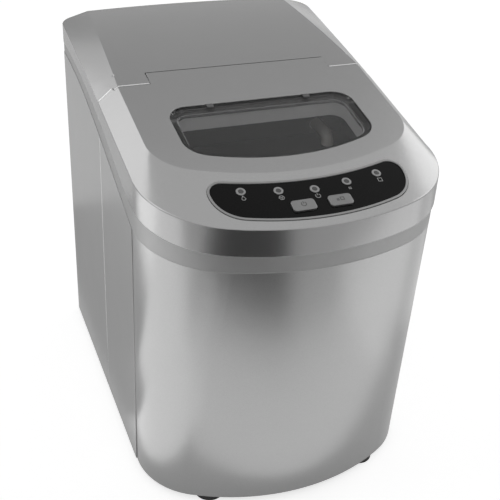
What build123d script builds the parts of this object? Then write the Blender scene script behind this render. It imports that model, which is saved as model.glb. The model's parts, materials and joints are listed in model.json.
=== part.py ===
"""Countertop ice maker: hinged lid with a window and a key panel, over a tub
that holds the water, the ice basket, the freezing fingers and their tilting
tray, with the cooling machinery in the rear half.

Millimetres. +Z is up and the front faces -Y. The origin is the centre of the
overall box at the surface that the feet stand on.
"""
from build123d import *
import os
from math import atan, cos, pi, radians, sin, sqrt, tan

os.makedirs("parts", exist_ok=True)

# ---------------------------------------------------------------- overall size
BODY_WIDTH = 241.0
BODY_DEPTH = 342.0          # front of the lid's band to the crown of the bowed back
FRONT_Y = -BODY_DEPTH / 2
REAR_Y = BODY_DEPTH / 2
SIDE_X = BODY_WIDTH / 2
REAR_TOP_Z = 323.4          # top of the rear cover at its back edge
FOOT_HEIGHT = 5.0
REAR_BOW = 8.0              # how far the back swells past its corners
REAR_CORNER_R = 9.0
FRONT_ARC_R = 205.6         # big arc of the front in plan
CORNER_R = 77.5             # front corners in plan

# ---------------------------------------------------------------- fits and gaps
FACE_GAP = 0.3              # seated faces that don't rub
SEAM_GAP = 0.8              # visible joint between lid and rear cover
PANEL_GAP = 0.2             # butt joints of the outer panels
EDGE_WIDTH = 0.9            # step along the rear shell's front edges
EDGE_DEPTH = 0.3
SLIDE_GAP = 0.4             # keys in their holes
RUN_GAP = 0.06              # radial clearance of pins that turn
PRESS_GAP = 0.01            # radial clearance of pins that are pressed in

# ---------------------------------------------------------------- walls
SKIN = 3.0                  # lid and rear cover
PANEL = 2.5                 # side panels and rear shell
FRONT_SKIN = 1.6            # curved front panel
TUB_WALL = 2.5
BASE_PLATE = 3.0
SHEET = 2.0                 # bulkhead and brackets

# ---------------------------------------------------------------- lid and roof
SEAM_Y = 19.0               # front half meets rear half
SEAM_TOP_STEP = 4.0         # the seam steps forward by this on the roof
SEAM_TOP_HALF = SIDE_X - 12.5    # half width of that step
TONGUE_HALF = 78.0          # half width of the hinge tongue
ROOF_SEAM_Z = 311.8
ROOF_SLOPE = 0.168          # roof fall per millimetre towards the front
BEVEL_WIDTH = 15.4          # side bevel, across
BEVEL_DROP = 14.0           # side bevel, down
CREASE_FRONT = 55.1         # front edge back to the crease where the roof ends
CREASE_ARC_R = 205.0
CREASE_CORNER_R = 40.0
BAND_TOP_Z = 274.3          # top of the lid's front band
BAND_EDGE_R = 1.3

# gap line under the lid, as height against depth
GAP_FRONT_Z = 251.4
GAP_KINK_Y = FRONT_Y + 105.0
GAP_KINK_Z = 257.7
GAP_MID_Y = SEAM_Y - 1.0
GAP_MID_Z = 283.0
GAP_REAR_Y = REAR_Y - 21.0
GAP_REAR_Z = 300.0
GAP_OPEN = 1.0
# lower edge of the rim frame
RIM_FRONT_Z = 238.0
RIM_KINK_Y = FRONT_Y + 90.3
RIM_MID_Z = 268.0
RIM_REAR_Z = 290.5
RIM_SETBACK = 1.8           # rim frame and front panel behind the lid's band
RIM_SIDE_SET = 0.4
RIM_WALL = 3.0

# ---------------------------------------------------------------- hinge
HINGE_Y = SEAM_Y + 5.8
HINGE_BARREL_R = 6.5
HINGE_PIN_R = 2.0
HINGE_PIN_GRIP = 9.0        # length of pin in the barrel and in the ear
HINGE_EAR = 9.0             # width of the rear cover's ears
TONGUE_LIP = 6.4            # flat of the tongue behind the hinge axis
LIP_GAP = 0.6
DIMPLE_Y = SEAM_Y + 15.0
DIMPLE_R = 2.2              # dimple in each crease of the rear cover

# ---------------------------------------------------------------- window
WINDOW_HALF = 77.2
WINDOW_LENGTH = 76.5
WINDOW_FRONT_Y = FRONT_Y + 73.5
WINDOW_REAR_Y = WINDOW_FRONT_Y + WINDOW_LENGTH
WINDOW_ARC_R = 173.0
WINDOW_REAR_R = 16.0
WINDOW_FRONT_R = 22.0
PANE = 3.0
PANE_RECESS = 0.9
GASKET = 1.2
GASKET_WIDTH = 5.0
LEDGE_WIDTH = 6.0
LEDGE = 2.5
CLIP_X = 41.0               # clips that hold the pane's rear edge

# ---------------------------------------------------------------- key panel
FASCIA_LENGTH = 35.2
FASCIA_FRONT_Y = FRONT_Y + 9.0
FASCIA_REAR_Y = FASCIA_FRONT_Y + FASCIA_LENGTH
FASCIA_REAR_R = 227.0
FASCIA_FRONT_R = 180.0
FASCIA_HALF = 75.5
FASCIA_REAR_CORNER_R = 9.0
FASCIA_FRONT_CORNER_R = 27.0
FASCIA_PLATE = 1.6
TRIM_WIDTH = 1.7
TRIM_PROUD = 0.5
KEY_PITCH = 28.4
KEY_Y = FASCIA_FRONT_Y + 11.7
KEY_WIDTH = 18.0
KEY_LENGTH = 10.5
KEY_CORNER_R = 2.6
KEY_PROUD = 1.3
KEY_TRAVEL = 0.7
KEY_FLANGE = 1.6
LED_PITCH = 26.7
LED_Y = FASCIA_FRONT_Y + 25.8
LED_DROPS = (3.3, 8.2)      # how far the inner and outer pairs lie behind the middle one
LED_R = 2.0
LED_RING = 1.5
BOARD = 1.6
BOARD_DEPTH = 9.0           # below the outer face

# ---------------------------------------------------------------- lid liner
LINER = 2.0
LINER_FRONT_Z = 257.5
LINER_SLOPE = 0.19
BOSS_R = 3.6
SCREW_R = 1.5
SCREW_HEAD_R = 3.0
SCREW_HEAD = 1.8

# ---------------------------------------------------------------- front panel foot
PANEL_FOOT_BACK = 10.5      # the front panel's foot behind its head
PANEL_FOOT_ARC_R = 185.0
PANEL_FOOT_CORNER_R = 60.0
PANEL_FOOT_SIDE = 0.8

# ---------------------------------------------------------------- tub and basket
TUB_HALF = SIDE_X - 26.0
TUB_FRONT_Y = FRONT_Y + 28.0
TUB_REAR_Y = SEAM_Y - 8.5
TUB_ARC_R = 170.0
TUB_CORNER_R = 48.0
TUB_FLOOR_Z = 37.5
TUB_FLANGE = 8.0
FOAM = 8.0
FOAM_TOP_Z = 185.0
BASKET_HALF = TUB_HALF - 12.5
BASKET_FRONT_Y = TUB_FRONT_Y + 9.0
BASKET_REAR_Y = TUB_REAR_Y - 60.5
BASKET_FLOOR_Z = 120.0
BASKET_TOP_Z = 188.0
BASKET_WALL = 2.0
BASKET_CORNER_R = 34.0
RAIL = 6.0

# ---------------------------------------------------------------- freezing set
TRAY_Y = TUB_REAR_Y - 28.5
TRAY_Z = 225.0
TRAY_R = 22.0               # inside radius of the trough
TRAY_WALL = 2.0
CHEEK_X = TUB_HALF - 10.5              # inner face of the bracket's cheeks
TRAY_HALF = CHEEK_X - 9.0
TRAY_SPAN = 140.0           # degrees of arc that the trough covers
TRAY_PIN_R = 3.0
FINGER_R = 4.5
FINGER_LENGTH = 31.8
FINGER_ROW = 9.0            # rows either side of the tray's axis
FINGER_TIP = 12.5           # below the tray's axis
MANIFOLD = 5.7              # thickness
MANIFOLD_HALF = TRAY_HALF - 17.0
FINGER_PITCH = (MANIFOLD_HALF - 6.0) / 2
PUSHER_IN_R = 27.0
PUSHER_OUT_R = 33.0
PUSHER_ARM = 2.6
PUSHER_REST = 282.0         # degrees from +Y towards +Z
PUSHER_BLADE = 10.0         # degrees of arc
CHEEK = 3.0
CHUTE_R = 34.5              # inside radius of the chute's trough
CHUTE = 2.0
CHUTE_RIM = 8.0             # unslotted edge of the chute
CHUTE_FROM = 232.0          # degrees where the trough turns into the slide
CHUTE_TO = 303.0            # degrees where it ends below the tub's back wall
CHUTE_LIP = (BASKET_REAR_Y + 0.6, 190.0)  # depth and height of the slide's lip
BRACKET_Y = (TRAY_Y - 23.0, TRAY_Y + 25.0)  # depth of the bracket's plate

# ---------------------------------------------------------------- machinery
ROOM_FRONT_Y = TUB_REAR_Y + FOAM + 6 * FACE_GAP + SHEET
ROOM_REAR_Y = REAR_Y - REAR_BOW - PANEL
ROOM_MID_Y = (ROOM_FRONT_Y + ROOM_REAR_Y) / 2
COMPRESSOR_X = 78.5 - SIDE_X
COMPRESSOR_Y = ROOM_MID_Y - 1.4
COMPRESSOR_R = 46.0
COMPRESSOR_HEIGHT = 127.0
CAP_DEPTH = 18.0            # terminal cap beside the dome
CAP_HALF = 14.0
CAP_Z = (32.0, 70.0)
PIPE_SPREAD = 12.0          # pipe stubs either side of the crown's centre
GROMMET_R = 8.0
GROMMET_HEIGHT = 12.0
LEG = 2.5                   # compressor's leg plate
MOUNT_SPREAD = 43.0
CONDENSER_X = SIDE_X - 34.5
CONDENSER_THICK = 22.0
CONDENSER_Y = ROOM_MID_Y + 0.6
CONDENSER_LENGTH = ROOM_REAR_Y - ROOM_FRONT_Y - 44.2
CONDENSER_PASSES = 6
CONDENSER_PITCH = 22.0
END_PLATE = 1.5
CONDENSER_Z = 38.0
CONDENSER_HEIGHT = 132.0
FIN_PITCH = 6.0
FIN = 0.8
TUBE_R = 4.0
FAN_R = 46.0
FAN_HUB_R = 14.0
FAN_DEPTH = 12.0
FAN_BLADES = 5
FAN_SHAFT_R = 2.0
MOTOR_R = 17.0
MOTOR_LENGTH = 24.0
CLAMP = 8.0                 # width of the fan motor's clamp
SHAFT_FREE = 3.0            # bare shaft between fan motor and fan
SHAFT_GRIP = 10.0
DUCT_GAP = 1.5
PIPE_R = 3.0
SUCTION_R = 4.0
HOSE_R = 5.0
HOSE_BORE_R = 3.5

# rear cover, sections behind the seam
REAR_MID_Y = REAR_Y - 79.0
REAR_MID_Z = 319.2
REAR_MID_BEVEL = 20.5
REAR_MID_DROP = 11.2
REAR_BEVEL = 25.5
REAR_DROP = 5.6
CROSS_WALL_Y = HINGE_Y + 11.0    # wall behind the hinge
DECK_DEPTH = 3.5            # top of the deck below the gap line
FLANGE_DEPTH = 0.7          # top of the tub's flange below the gap line
MACHINE_HALF = SIDE_X - 12.5     # half width of the deck's opening over the machinery

# vents and inlet
VENT_PITCH = 8.0
VENT_SLOT = 3.2
SIDE_VENT_Y = ((CONDENSER_Y - 48.0, CONDENSER_Y), (CONDENSER_Y + 6.0, REAR_Y - 25.0))
SIDE_VENT_Z = (44.0, 172.0)
BACK_VENT_X = ((-64.0, -4.0), (4.0, 64.0))
BACK_VENT_Z = (60.0, 204.0)
GLAND_X = 35.5 - SIDE_X
GLAND_Z = 34.0
GLAND_R = 8.0
GLAND_BORE_R = 3.5
GLAND_FLANGE_R = 11.0
GLAND_FLANGE = 4.0
GLAND_PROUD = 3.0

# base
BASE_RIM = 15.0             # height of the base with its upstand
FOOT_R = 12.5
FRONT_FOOT = (SIDE_X - 50.5, FRONT_Y + 40.0)
REAR_FOOT = (SIDE_X - 20.5, REAR_Y - 25.0)
TUB_POST_R = 6.0
TUB_POST_X = 60.0
TUB_POST_Y = (TUB_FRONT_Y + 33.0, TUB_REAR_Y - 30.5)
DRAIN_SPOT = (55.0, TUB_FRONT_Y + 53.0)
DRAIN_R = 5.6
DRAIN_HEAD_R = 9.0
DRAIN_SPOUT_Z = 12.0
SHELL_SCREW_X = (20.5 - SIDE_X, -40.0, 40.0, SIDE_X - 20.5)
SHELL_SCREW_Z = 14.0

# pipes and electrics
TRAY_MOTOR_R = 16.0
SUCTION_Z = 190.0
DISCHARGE_Z = 182.0
CAPILLARY_Z = 212.0
HOT_Z = 168.0
VALVE_Z = (196.0, 230.0)
FAN_DUCT = 15.0
FAN_BLADE = 1.6
FAN_CHORD = 17.0
BOX_DEPTH = 21.7
BOX_X = (PANEL + FACE_GAP - SIDE_X, PANEL + FACE_GAP - SIDE_X + BOX_DEPTH)
BOX_Y = (REAR_Y - 111.0, REAR_Y - 21.0)
BOX_Z = (165.0, 255.0)
BOARD_STAND = 4.0
STAND_INSET = 9.0
COMPONENT = 9.0             # height of the parts on the main board

# basket slots and grip
BASKET_SLOT = 4.0
BASKET_PITCH = 9.0
FLOOR_SLOT = 52.0           # length of the slots in the basket's floor
GRIP_DEPTH = 6.0
GRIP_RISE = 27.0
GRIP_THICK = 4.0
GRIP_WIDTH = 9.0
SENSOR_Y = BASKET_REAR_Y - 10.0
SENSOR_Z = 201.0

# water and refrigerant connections
PUMP_X = TUB_HALF - 34.5
PUMP_Y = ROOM_FRONT_Y + FACE_GAP
PUMP_Z = 46.0
PUMP_R = 16.0
PUMP_LENGTH = 29.0
SPIGOT_R = 6.0
HOSE_X = TUB_HALF - 27.5
HOSE_Y = PUMP_Y + 11.4
HOSE_Z = 262.0
NOZZLE_R = 3.6
SUCTION_X = 30.0
HOT_X = 8.0
CAPILLARY_X = 44.0
CAPILLARY_R = 1.6
DROP_Y = PUMP_Y + 17.4      # where the pipes turn down behind the bulkhead
DRIER_SPOT = (20.0, ROOM_REAR_Y - 22.5)
DRIER_R = 9.0
DRIER_Z = (60.0, 120.0)
BOLT_R = 2.5
NUT = 3.0

half_w = SIDE_X
front_y = FRONT_Y
rear_side_y = REAR_Y - REAR_BOW
shell_z = FOOT_HEIGHT
reach = BODY_WIDTH + BODY_DEPTH         # longer than anything that it cuts
base_top = shell_z + BASE_PLATE
bracket_z = TRAY_Z - FINGER_TIP + FINGER_LENGTH + MANIFOLD + FACE_GAP
pipe_z = bracket_z - FACE_GAP - SUCTION_R
bulkhead_y = ROOM_FRONT_Y - SHEET
leg_z = base_top + FACE_GAP + GROMMET_HEIGHT + FACE_GAP
PIPE_X = (HOT_X, SUCTION_X, CAPILLARY_X)


# ================================================================ helpers
def save(name, shape):
    """Write one node's solids to its own STEP file."""
    solids = shape.solids()
    node = solids[0] if len(solids) == 1 else Compound(children=list(solids))
    node.label = name
    export_step(node, f"parts/{name}.step")
    print(name, len(solids), round(sum(s.volume for s in solids)))


def block(x, y, z):
    """Box from three (low, high) pairs."""
    size = Box(x[1] - x[0], y[1] - y[0], z[1] - z[0])
    return Pos((x[0] + x[1]) / 2, (y[0] + y[1]) / 2, (z[0] + z[1]) / 2) * size


def rod(start, end, radius):
    """Round bar between two points."""
    a = Vector(*start)
    b = Vector(*end)
    plane = Plane(origin=a, z_dir=b - a)
    return extrude(plane * Circle(radius), (b - a).length)


def ring(start, end, outer, inner):
    """Round tube between two points."""
    return rod(start, end, outer) - rod(start, end, inner)


def both_sides(shape):
    """A shape and its mirror image across the middle plane."""
    return shape + mirror(shape, Plane.YZ)


def pipe(points, bend, outer, inner=0.0):
    """Bar or tube along straight runs joined by round bends."""
    path = FilletPolyline(*points, radius=bend)
    section = Plane(origin=path @ 0, z_dir=path % 0) * Circle(outer)
    if inner:
        section -= Plane(origin=path @ 0, z_dir=path % 0) * Circle(inner)
    return sweep(section, path=path)


def front_arcs(half, apex, arc_r, corner_r):
    """Three arcs of a bowed front in plan, right to left, and the depth where they start."""
    cx = half - corner_r
    fy = apex + arc_r
    cy = fy - sqrt((arc_r - corner_r) ** 2 - cx ** 2)
    tx = cx / (arc_r - corner_r)
    ty = (cy - fy) / (arc_r - corner_r)
    middle = Vector(cx, cy) + Vector(1 + tx, ty).normalized() * corner_r
    tangent = Vector(arc_r * tx, fy + arc_r * ty)
    corner = ThreePointArc((half, cy), (middle.X, middle.Y), (tangent.X, tangent.Y))
    front = ThreePointArc((tangent.X, tangent.Y), (0, apex), (-tangent.X, tangent.Y))
    other = ThreePointArc((-tangent.X, tangent.Y), (-middle.X, middle.Y), (-half, cy))
    return [corner, front, other], cy


def front_face(half, apex, arc_r, corner_r, back=None):
    """Plan face with a bowed front; its straight back lies at the corners' start, or at back."""
    edges, start = front_arcs(half, apex, arc_r, corner_r)
    if back is None:
        return make_face(edges + [Line((-half, start), (half, start))]), start
    return make_face(edges + [Polyline((-half, start), (-half, back), (half, back), (half, start))])


def plan_face(half, apex, arc_r, corner_r, inset=0.0):
    """Plan face of the whole body, bowed at the front and at the back."""
    edges, start = front_arcs(half, apex, arc_r, corner_r)
    back_y = rear_side_y - inset
    sides = [Line((half, back_y), (half, start)), Line((-half, start), (-half, back_y))]
    back = ThreePointArc((-half, back_y), (0, REAR_Y - inset), (half, back_y))
    face = make_face(edges + sides + [back])
    corners = [v for v in face.vertices() if v.Y > back_y - 0.1]
    return fillet(corners, max(REAR_CORNER_R - inset, 1))


def body_plan(inset, setback=0.0, side_set=0.0):
    """Body outline moved in by inset; the front also by setback and the sides by side_set."""
    apex = front_y + setback + inset
    half = half_w - side_set - inset
    return plan_face(half, apex, FRONT_ARC_R - setback - inset, CORNER_R - side_set - inset, inset)


def slab_yz(edges):
    """Solid across the whole width from edges drawn as (depth, height)."""
    return extrude(Plane.YZ * make_face(edges), reach / 2, both=True)


def under_gap(shift):
    """Everything below the lid's gap line, moved up by shift."""
    kink = (GAP_KINK_Y, GAP_KINK_Z + shift)
    slope = (GAP_KINK_Z - GAP_FRONT_Z) / (GAP_KINK_Y - front_y)
    low = (-reach, GAP_FRONT_Z + shift - slope * (reach + front_y))
    end = (GAP_REAR_Y, GAP_REAR_Z + shift)
    rise = (GAP_MID_Z - GAP_KINK_Z) / (GAP_MID_Y - GAP_KINK_Y)
    curve = Spline(kink, (GAP_MID_Y, GAP_MID_Z + shift), end, tangents=[(1, rise), (1, 0)])
    far = (reach, GAP_REAR_Z + shift)
    floor = Polyline(far, (reach, -reach), (-reach, -reach), low)
    return slab_yz([Line(low, kink), curve, Line(end, far), floor])


def under_rim(shift):
    """Everything below the rim frame's lower edge, moved up by shift."""
    kink = (RIM_KINK_Y, RIM_FRONT_Z + shift)
    low = (-reach, RIM_FRONT_Z + shift)
    end = (GAP_REAR_Y, RIM_REAR_Z + shift)
    rise = (RIM_MID_Z - RIM_FRONT_Z) / (GAP_MID_Y - RIM_KINK_Y)
    curve = Spline(kink, (GAP_MID_Y, RIM_MID_Z + shift), end, tangents=[(1, rise), (1, 0)])
    far = (reach, RIM_REAR_Z + shift)
    floor = Polyline(far, (reach, -reach), (-reach, -reach), low)
    return slab_yz([Line(low, kink), curve, Line(end, far), floor])


def roof_z(y):
    """Height of the roof plane over the front half."""
    return ROOF_SEAM_Z + ROOF_SLOPE * (y - SEAM_Y)


def tilted(y, z, slope):
    """Plane through (0, y, z) that rises towards the back by slope."""
    return Plane(origin=(0, y, z), x_dir=(1, 0, 0), z_dir=(0, -slope, 1))


def lid_solid(inset):
    """Solid inside the lid's outer faces, moved in by inset: nose, skirt and the bevelled rear part."""
    bevel = atan(BEVEL_DROP / BEVEL_WIDTH)
    crease_half = half_w - BEVEL_WIDTH - inset * tan(bevel / 2)
    crease_r = CREASE_CORNER_R - inset * tan(bevel / 2)
    stretch = sqrt(1 + ROOF_SLOPE ** 2)
    roof_down = inset * stretch
    top, start = front_face(crease_half, (front_y + CREASE_FRONT) * stretch, CREASE_ARC_R, crease_r)
    crease_y = start / stretch
    roof = tilted(0, roof_z(0) - roof_down, ROOF_SLOPE)

    wall_half = half_w - inset
    wall_r = FRONT_ARC_R - inset
    corner_r = CORNER_R - inset
    nose_y = front_y + inset
    front_slope = atan((roof_z(front_y + CREASE_FRONT) - BAND_TOP_Z) / CREASE_FRONT)
    nose_z = BAND_TOP_Z - inset * tan((pi / 2 - front_slope) / 2)
    _, wall_y = front_arcs(wall_half, nose_y, wall_r, corner_r)
    side_down = BEVEL_DROP + inset * tan((pi / 2 - bevel) / 2)
    slope = (roof_z(wall_y) - side_down - nose_z) / (wall_y - nose_y)
    shoulder = tilted(nose_y, nose_z, slope)
    bottom, start = front_face(wall_half, 0, wall_r, corner_r)
    wall_y = nose_y + start / sqrt(1 + slope ** 2)
    side_z = nose_z + slope * (wall_y - nose_y)

    nose = loft([roof * top, shoulder * bottom], ruled=True)
    low_z = RIM_FRONT_Z - RIM_WALL
    skirt = extrude(shoulder * bottom, side_z - low_z, dir=(0, 0, -1))
    end_y = HINGE_Y + 2 * HINGE_BARREL_R
    sections = []
    for y in (wall_y, end_y):
        corner_z = side_z + ROOF_SLOPE * (y - wall_y)
        top_z = roof_z(y) - roof_down
        shape = Polygon((-wall_half, low_z), (wall_half, low_z), (wall_half, corner_z), (crease_half, top_z),
                        (-crease_half, top_z), (-wall_half, corner_z), align=None)
        sections.append(Plane(origin=(0, y, 0), x_dir=(1, 0, 0), z_dir=(0, -1, 0)) * shape)
    crease_z = roof_z(crease_y) - roof_down
    behind = Polyline((wall_y, low_z), (wall_y, side_z), (crease_y, crease_z), (crease_y, reach),
                      (reach, reach), (reach, low_z), (wall_y, low_z))
    rear = loft(sections, ruled=True) & slab_yz([behind])
    return nose + skirt + rear


def key_frame(x):
    """Plane on the key panel's slope at a key's centre, z_dir square to the surface."""
    slope = (roof_z(front_y + CREASE_FRONT) - BAND_TOP_Z) / CREASE_FRONT
    return Plane(origin=(x, KEY_Y, BAND_TOP_Z + slope * (KEY_Y - front_y)), x_dir=(1, 0, 0),
                 z_dir=(0, -slope, 1))


def led_spots():
    """Plan places of the indicators, from left to right."""
    drops = {0: 0.0, 1: LED_DROPS[0], 2: LED_DROPS[1]}
    return [(i * LED_PITCH, LED_Y + drops[abs(i)]) for i in range(-2, 3)]


def upright(face, low, high):
    """Plan face drawn out between two heights."""
    return extrude(Pos(0, 0, low) * face, high - low)


def window_face(grow=0.0):
    """Plan outline of the window, grown all round by grow."""
    half = WINDOW_HALF
    bulge = WINDOW_ARC_R - sqrt(WINDOW_ARC_R ** 2 - half ** 2)
    side_y = WINDOW_FRONT_Y + bulge
    back = Polyline((-half, side_y), (-half, WINDOW_REAR_Y), (half, WINDOW_REAR_Y), (half, side_y))
    front = ThreePointArc((half, side_y), (0, WINDOW_FRONT_Y), (-half, side_y))
    face = make_face([back, front])
    rear = [v for v in face.vertices() if v.Y > WINDOW_REAR_Y - 1]
    face = fillet(rear, WINDOW_REAR_R)
    corners = [v for v in face.vertices() if v.Y < side_y + 1]
    face = fillet(corners, WINDOW_FRONT_R)
    return offset(face, grow, kind=Kind.ARC) if grow else face


def fascia_face(grow=0.0):
    """Plan outline of the key panel, grown all round by grow."""
    half = FASCIA_HALF
    rear_end = FASCIA_REAR_Y + FASCIA_REAR_R - sqrt(FASCIA_REAR_R ** 2 - half ** 2)
    front_end = FASCIA_FRONT_Y + FASCIA_FRONT_R - sqrt(FASCIA_FRONT_R ** 2 - half ** 2)
    rear = ThreePointArc((-half, rear_end), (0, FASCIA_REAR_Y), (half, rear_end))
    front = ThreePointArc((half, front_end), (0, FASCIA_FRONT_Y), (-half, front_end))
    sides = [Line(rear @ 1, front @ 0), Line(front @ 1, rear @ 0)]
    face = make_face([rear, front] + sides)
    ordered = face.vertices().sort_by(Axis.Y)
    face = fillet(ordered[-2:], FASCIA_REAR_CORNER_R)
    ordered = face.vertices().sort_by(Axis.Y)
    lowest = [v for v in ordered if abs(abs(v.X) - half) < 0.01 and v.Y < front_end + 0.5]
    face = fillet(lowest, FASCIA_FRONT_CORNER_R)
    return offset(face, grow, kind=Kind.ARC) if grow else face


def key_face(grow=0.0):
    """Outline of one key in its own plane."""
    return RectangleRounded(KEY_WIDTH + 2 * grow, KEY_LENGTH + 2 * grow, KEY_CORNER_R + grow)


def liner_plane(shift=0.0):
    """Plane of the liner's underside, moved up by shift."""
    return tilted(front_y, LINER_FRONT_Z + shift, LINER_SLOPE)


def above_plane(plane):
    """Half space on the upper side of a plane."""
    return extrude(plane * Rectangle(2 * reach, 2 * reach), reach)


def seam_face(shift=0.0, thinner=0.0, tongue_y=None):
    """Plan of everything in front of the seam, its edge moved back by shift.

    The tongue is thinner by that much on each side and ends at tongue_y.
    """
    y0 = SEAM_Y + shift
    y1 = SEAM_Y - SEAM_TOP_STEP + shift
    end = HINGE_Y if tongue_y is None else tongue_y
    side = SEAM_TOP_HALF + SEAM_GAP
    half = TONGUE_HALF - thinner
    right = [(half, end), (half, y1), (SEAM_TOP_HALF, y1), (side, y0), (reach, y0), (reach, -reach)]
    left = [(-x, y) for x, y in reversed(right)]
    return make_face(Polyline(*right, *left, right[0]))


def roof_slab(low, high):
    """Layer between two depths below the roof plane."""
    roof = roof_z(0)
    return above_plane(tilted(0, roof - high, ROOF_SLOPE)) - above_plane(tilted(0, roof - low, ROOF_SLOPE))


def key_slab(low, high):
    """Layer between two depths below the key panel's slope."""
    centre = key_frame(0)
    return above_plane(centre.offset(-high)) - above_plane(centre.offset(-low))


def through_keys(shape, grow):
    """A shape with a hole for each key."""
    for x in KEY_X:
        shape -= extrude(key_frame(x) * key_face(grow), BOARD_DEPTH, both=True)
    return shape


KEY_X = (-KEY_PITCH / 2, KEY_PITCH / 2)
hinge_z = roof_z(HINGE_Y) - HINGE_BARREL_R * sqrt(1 + ROOF_SLOPE ** 2)
liner_y = SEAM_Y - SEAM_TOP_STEP - SKIN - 2 * FACE_GAP
lid_outer = lid_solid(0)
lid_inner = lid_solid(SKIN)
crease_x = half_w - BEVEL_WIDTH
level_x = crease_x + (roof_z(SEAM_Y) - hinge_z) * BEVEL_WIDTH / BEVEL_DROP
lip_y = HINGE_Y + TONGUE_LIP
lip_r = sqrt(TONGUE_LIP ** 2 + (roof_z(lip_y) - hinge_z) ** 2)
over_gap = block((-reach, reach), (-reach, reach), (0, reach)) - under_gap(GAP_OPEN / 2)


# ================================================================ lid
BOSS_SPOTS = [(sign * x, y) for x, y in ((SIDE_X - 20.5, WINDOW_REAR_Y + 1), (SIDE_X - 32.5, FRONT_Y + 63),
                                         (60, SEAM_Y - 14)) for sign in (-1, 1)]
POST_SPOTS = [(sign * x, y) for x, y in ((66, FASCIA_REAR_Y - 3.2), (44, KEY_Y + 0.3)) for sign in (-1, 1)]
TUB_POSTS = [(sign * TUB_POST_X, y) for y in TUB_POST_Y for sign in (-1, 1)]
POST_R = 2.5
FOOT_SPOTS = [(sign * x, y) for x, y in (FRONT_FOOT, REAR_FOOT) for sign in (-1, 1)]
GROMMET_SPOTS = [(COMPRESSOR_X + i * MOUNT_SPREAD, COMPRESSOR_Y + j * MOUNT_SPREAD)
                 for i in (-1, 1) for j in (-1, 1)]


def taper(start_x, end_x, first, last):
    """Round bar on the hinge axis whose radius goes from first to last."""
    plane = Plane(origin=(start_x, HINGE_Y, hinge_z), z_dir=(1, 0, 0))
    return plane * Cone(first, last, end_x - start_x, align=(Align.CENTER, Align.CENTER, Align.MIN))


def columns(spots, radius, low, high):
    """Upright round bars at plan places."""
    return Part() + [upright(Pos(x, y) * Circle(radius), low, high) for x, y in spots]


def band_edges(shape):
    """Edges where the lid's sloping faces meet its upright band."""
    outline = front_face(half_w, front_y, FRONT_ARC_R, CORNER_R, reach).edges()
    found = []
    for edge in shape.edges():
        spots = [edge @ t for t in (0.1, 0.5, 0.9)]
        off = max(min(e.distance_to(Vertex(p.X, p.Y, 0)) for e in outline) for p in spots)
        upright_edge = abs((edge % 0.5).Z) > 0.9
        if off < 0.5 and not upright_edge and spots[1].Z > GAP_FRONT_Z:
            found.append(edge)
    return found


def swing_r(edge_y, drop=0.0):
    """Distance from the hinge axis to the lid's top edge at edge_y, drop below the roof plane."""
    return sqrt((HINGE_Y - edge_y) ** 2 + (roof_z(edge_y) - drop - hinge_z) ** 2)


def swing_rods(change):
    """Bars about the hinge axis beside the tongue, as large as the lid's swinging edges plus change.

    Past the crease they taper with the bevel, down to where its edge is level with the axis.
    """
    near = SEAM_Y - SEAM_TOP_STEP
    step_drop = (SEAM_TOP_HALF - crease_x) * BEVEL_DROP / BEVEL_WIDTH
    inner = rod((TONGUE_HALF + SLIDE_GAP, HINGE_Y, hinge_z), (crease_x, HINGE_Y, hinge_z), swing_r(near) + change)
    middle = taper(crease_x, SEAM_TOP_HALF, swing_r(near) + change, swing_r(near, step_drop) + change)
    outer = taper(SEAM_TOP_HALF, level_x, swing_r(SEAM_Y, step_drop) + change, HINGE_Y - SEAM_Y + change)
    return both_sides(inner + middle + outer)


def make_lid_shell():
    """Outer skin of the lid: window frame, key panel recess, bosses and hinge barrel."""
    skin = fillet(band_edges(lid_outer), BAND_EDGE_R)
    skin = skin & upright(seam_face(), 0, reach) & over_gap
    hollow = lid_inner & upright(seam_face(-SKIN, SKIN, HINGE_Y), 0, reach)
    shell = skin - hollow - swing_rods(0)

    ledge_top = PANE_RECESS + PANE + GASKET
    collar = roof_slab(SKIN - 0.5, ledge_top + LEDGE) & upright(window_face(FACE_GAP + SHEET), 0, reach)
    collar -= roof_slab(0, ledge_top) & upright(window_face(FACE_GAP), 0, reach)
    collar -= upright(window_face(-LEDGE_WIDTH), 0, reach)
    shell = shell - upright(window_face(FACE_GAP), 0, reach) + collar

    recess = upright(fascia_face(TRIM_WIDTH + FACE_GAP), 0, reach) - lid_solid(FASCIA_PLATE + FACE_GAP)
    shell = through_keys(shell - recess, SLIDE_GAP)
    shell -= columns(led_spots(), LED_R + LED_RING + RUN_GAP, 0, reach)

    liner_top = above_plane(liner_plane(LINER))
    posts = columns(BOSS_SPOTS, BOSS_R, 0, reach) & lid_solid(SKIN / 2) & liner_top
    posts -= columns(BOSS_SPOTS, SCREW_R + RUN_GAP, 0, reach) & lid_solid(SKIN * 2)
    stands = columns(POST_SPOTS, POST_R, 0, reach) & above_plane(key_frame(0).offset(-BOARD_DEPTH))
    stands &= upright(fascia_face(), 0, reach) & lid_solid(FASCIA_PLATE + 2 * FACE_GAP)
    barrel = rod((-TONGUE_HALF, HINGE_Y, hinge_z), (TONGUE_HALF, HINGE_Y, hinge_z), HINGE_BARREL_R)
    lip = block((-TONGUE_HALF, TONGUE_HALF), (HINGE_Y - 1, lip_y), (hinge_z, reach)) & (lid_outer - lid_inner)
    lip &= rod((-TONGUE_HALF, HINGE_Y, hinge_z), (TONGUE_HALF, HINGE_Y, hinge_z), lip_r)
    shell = shell + posts + stands + barrel + lip
    for side in (-1, 1):
        inner = side * (TONGUE_HALF - HINGE_PIN_GRIP - FACE_GAP)
        outer = side * (TONGUE_HALF + 1)
        shell -= rod((inner, HINGE_Y, hinge_z), (outer, HINGE_Y, hinge_z), HINGE_PIN_R + RUN_GAP)
    return shell


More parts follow.
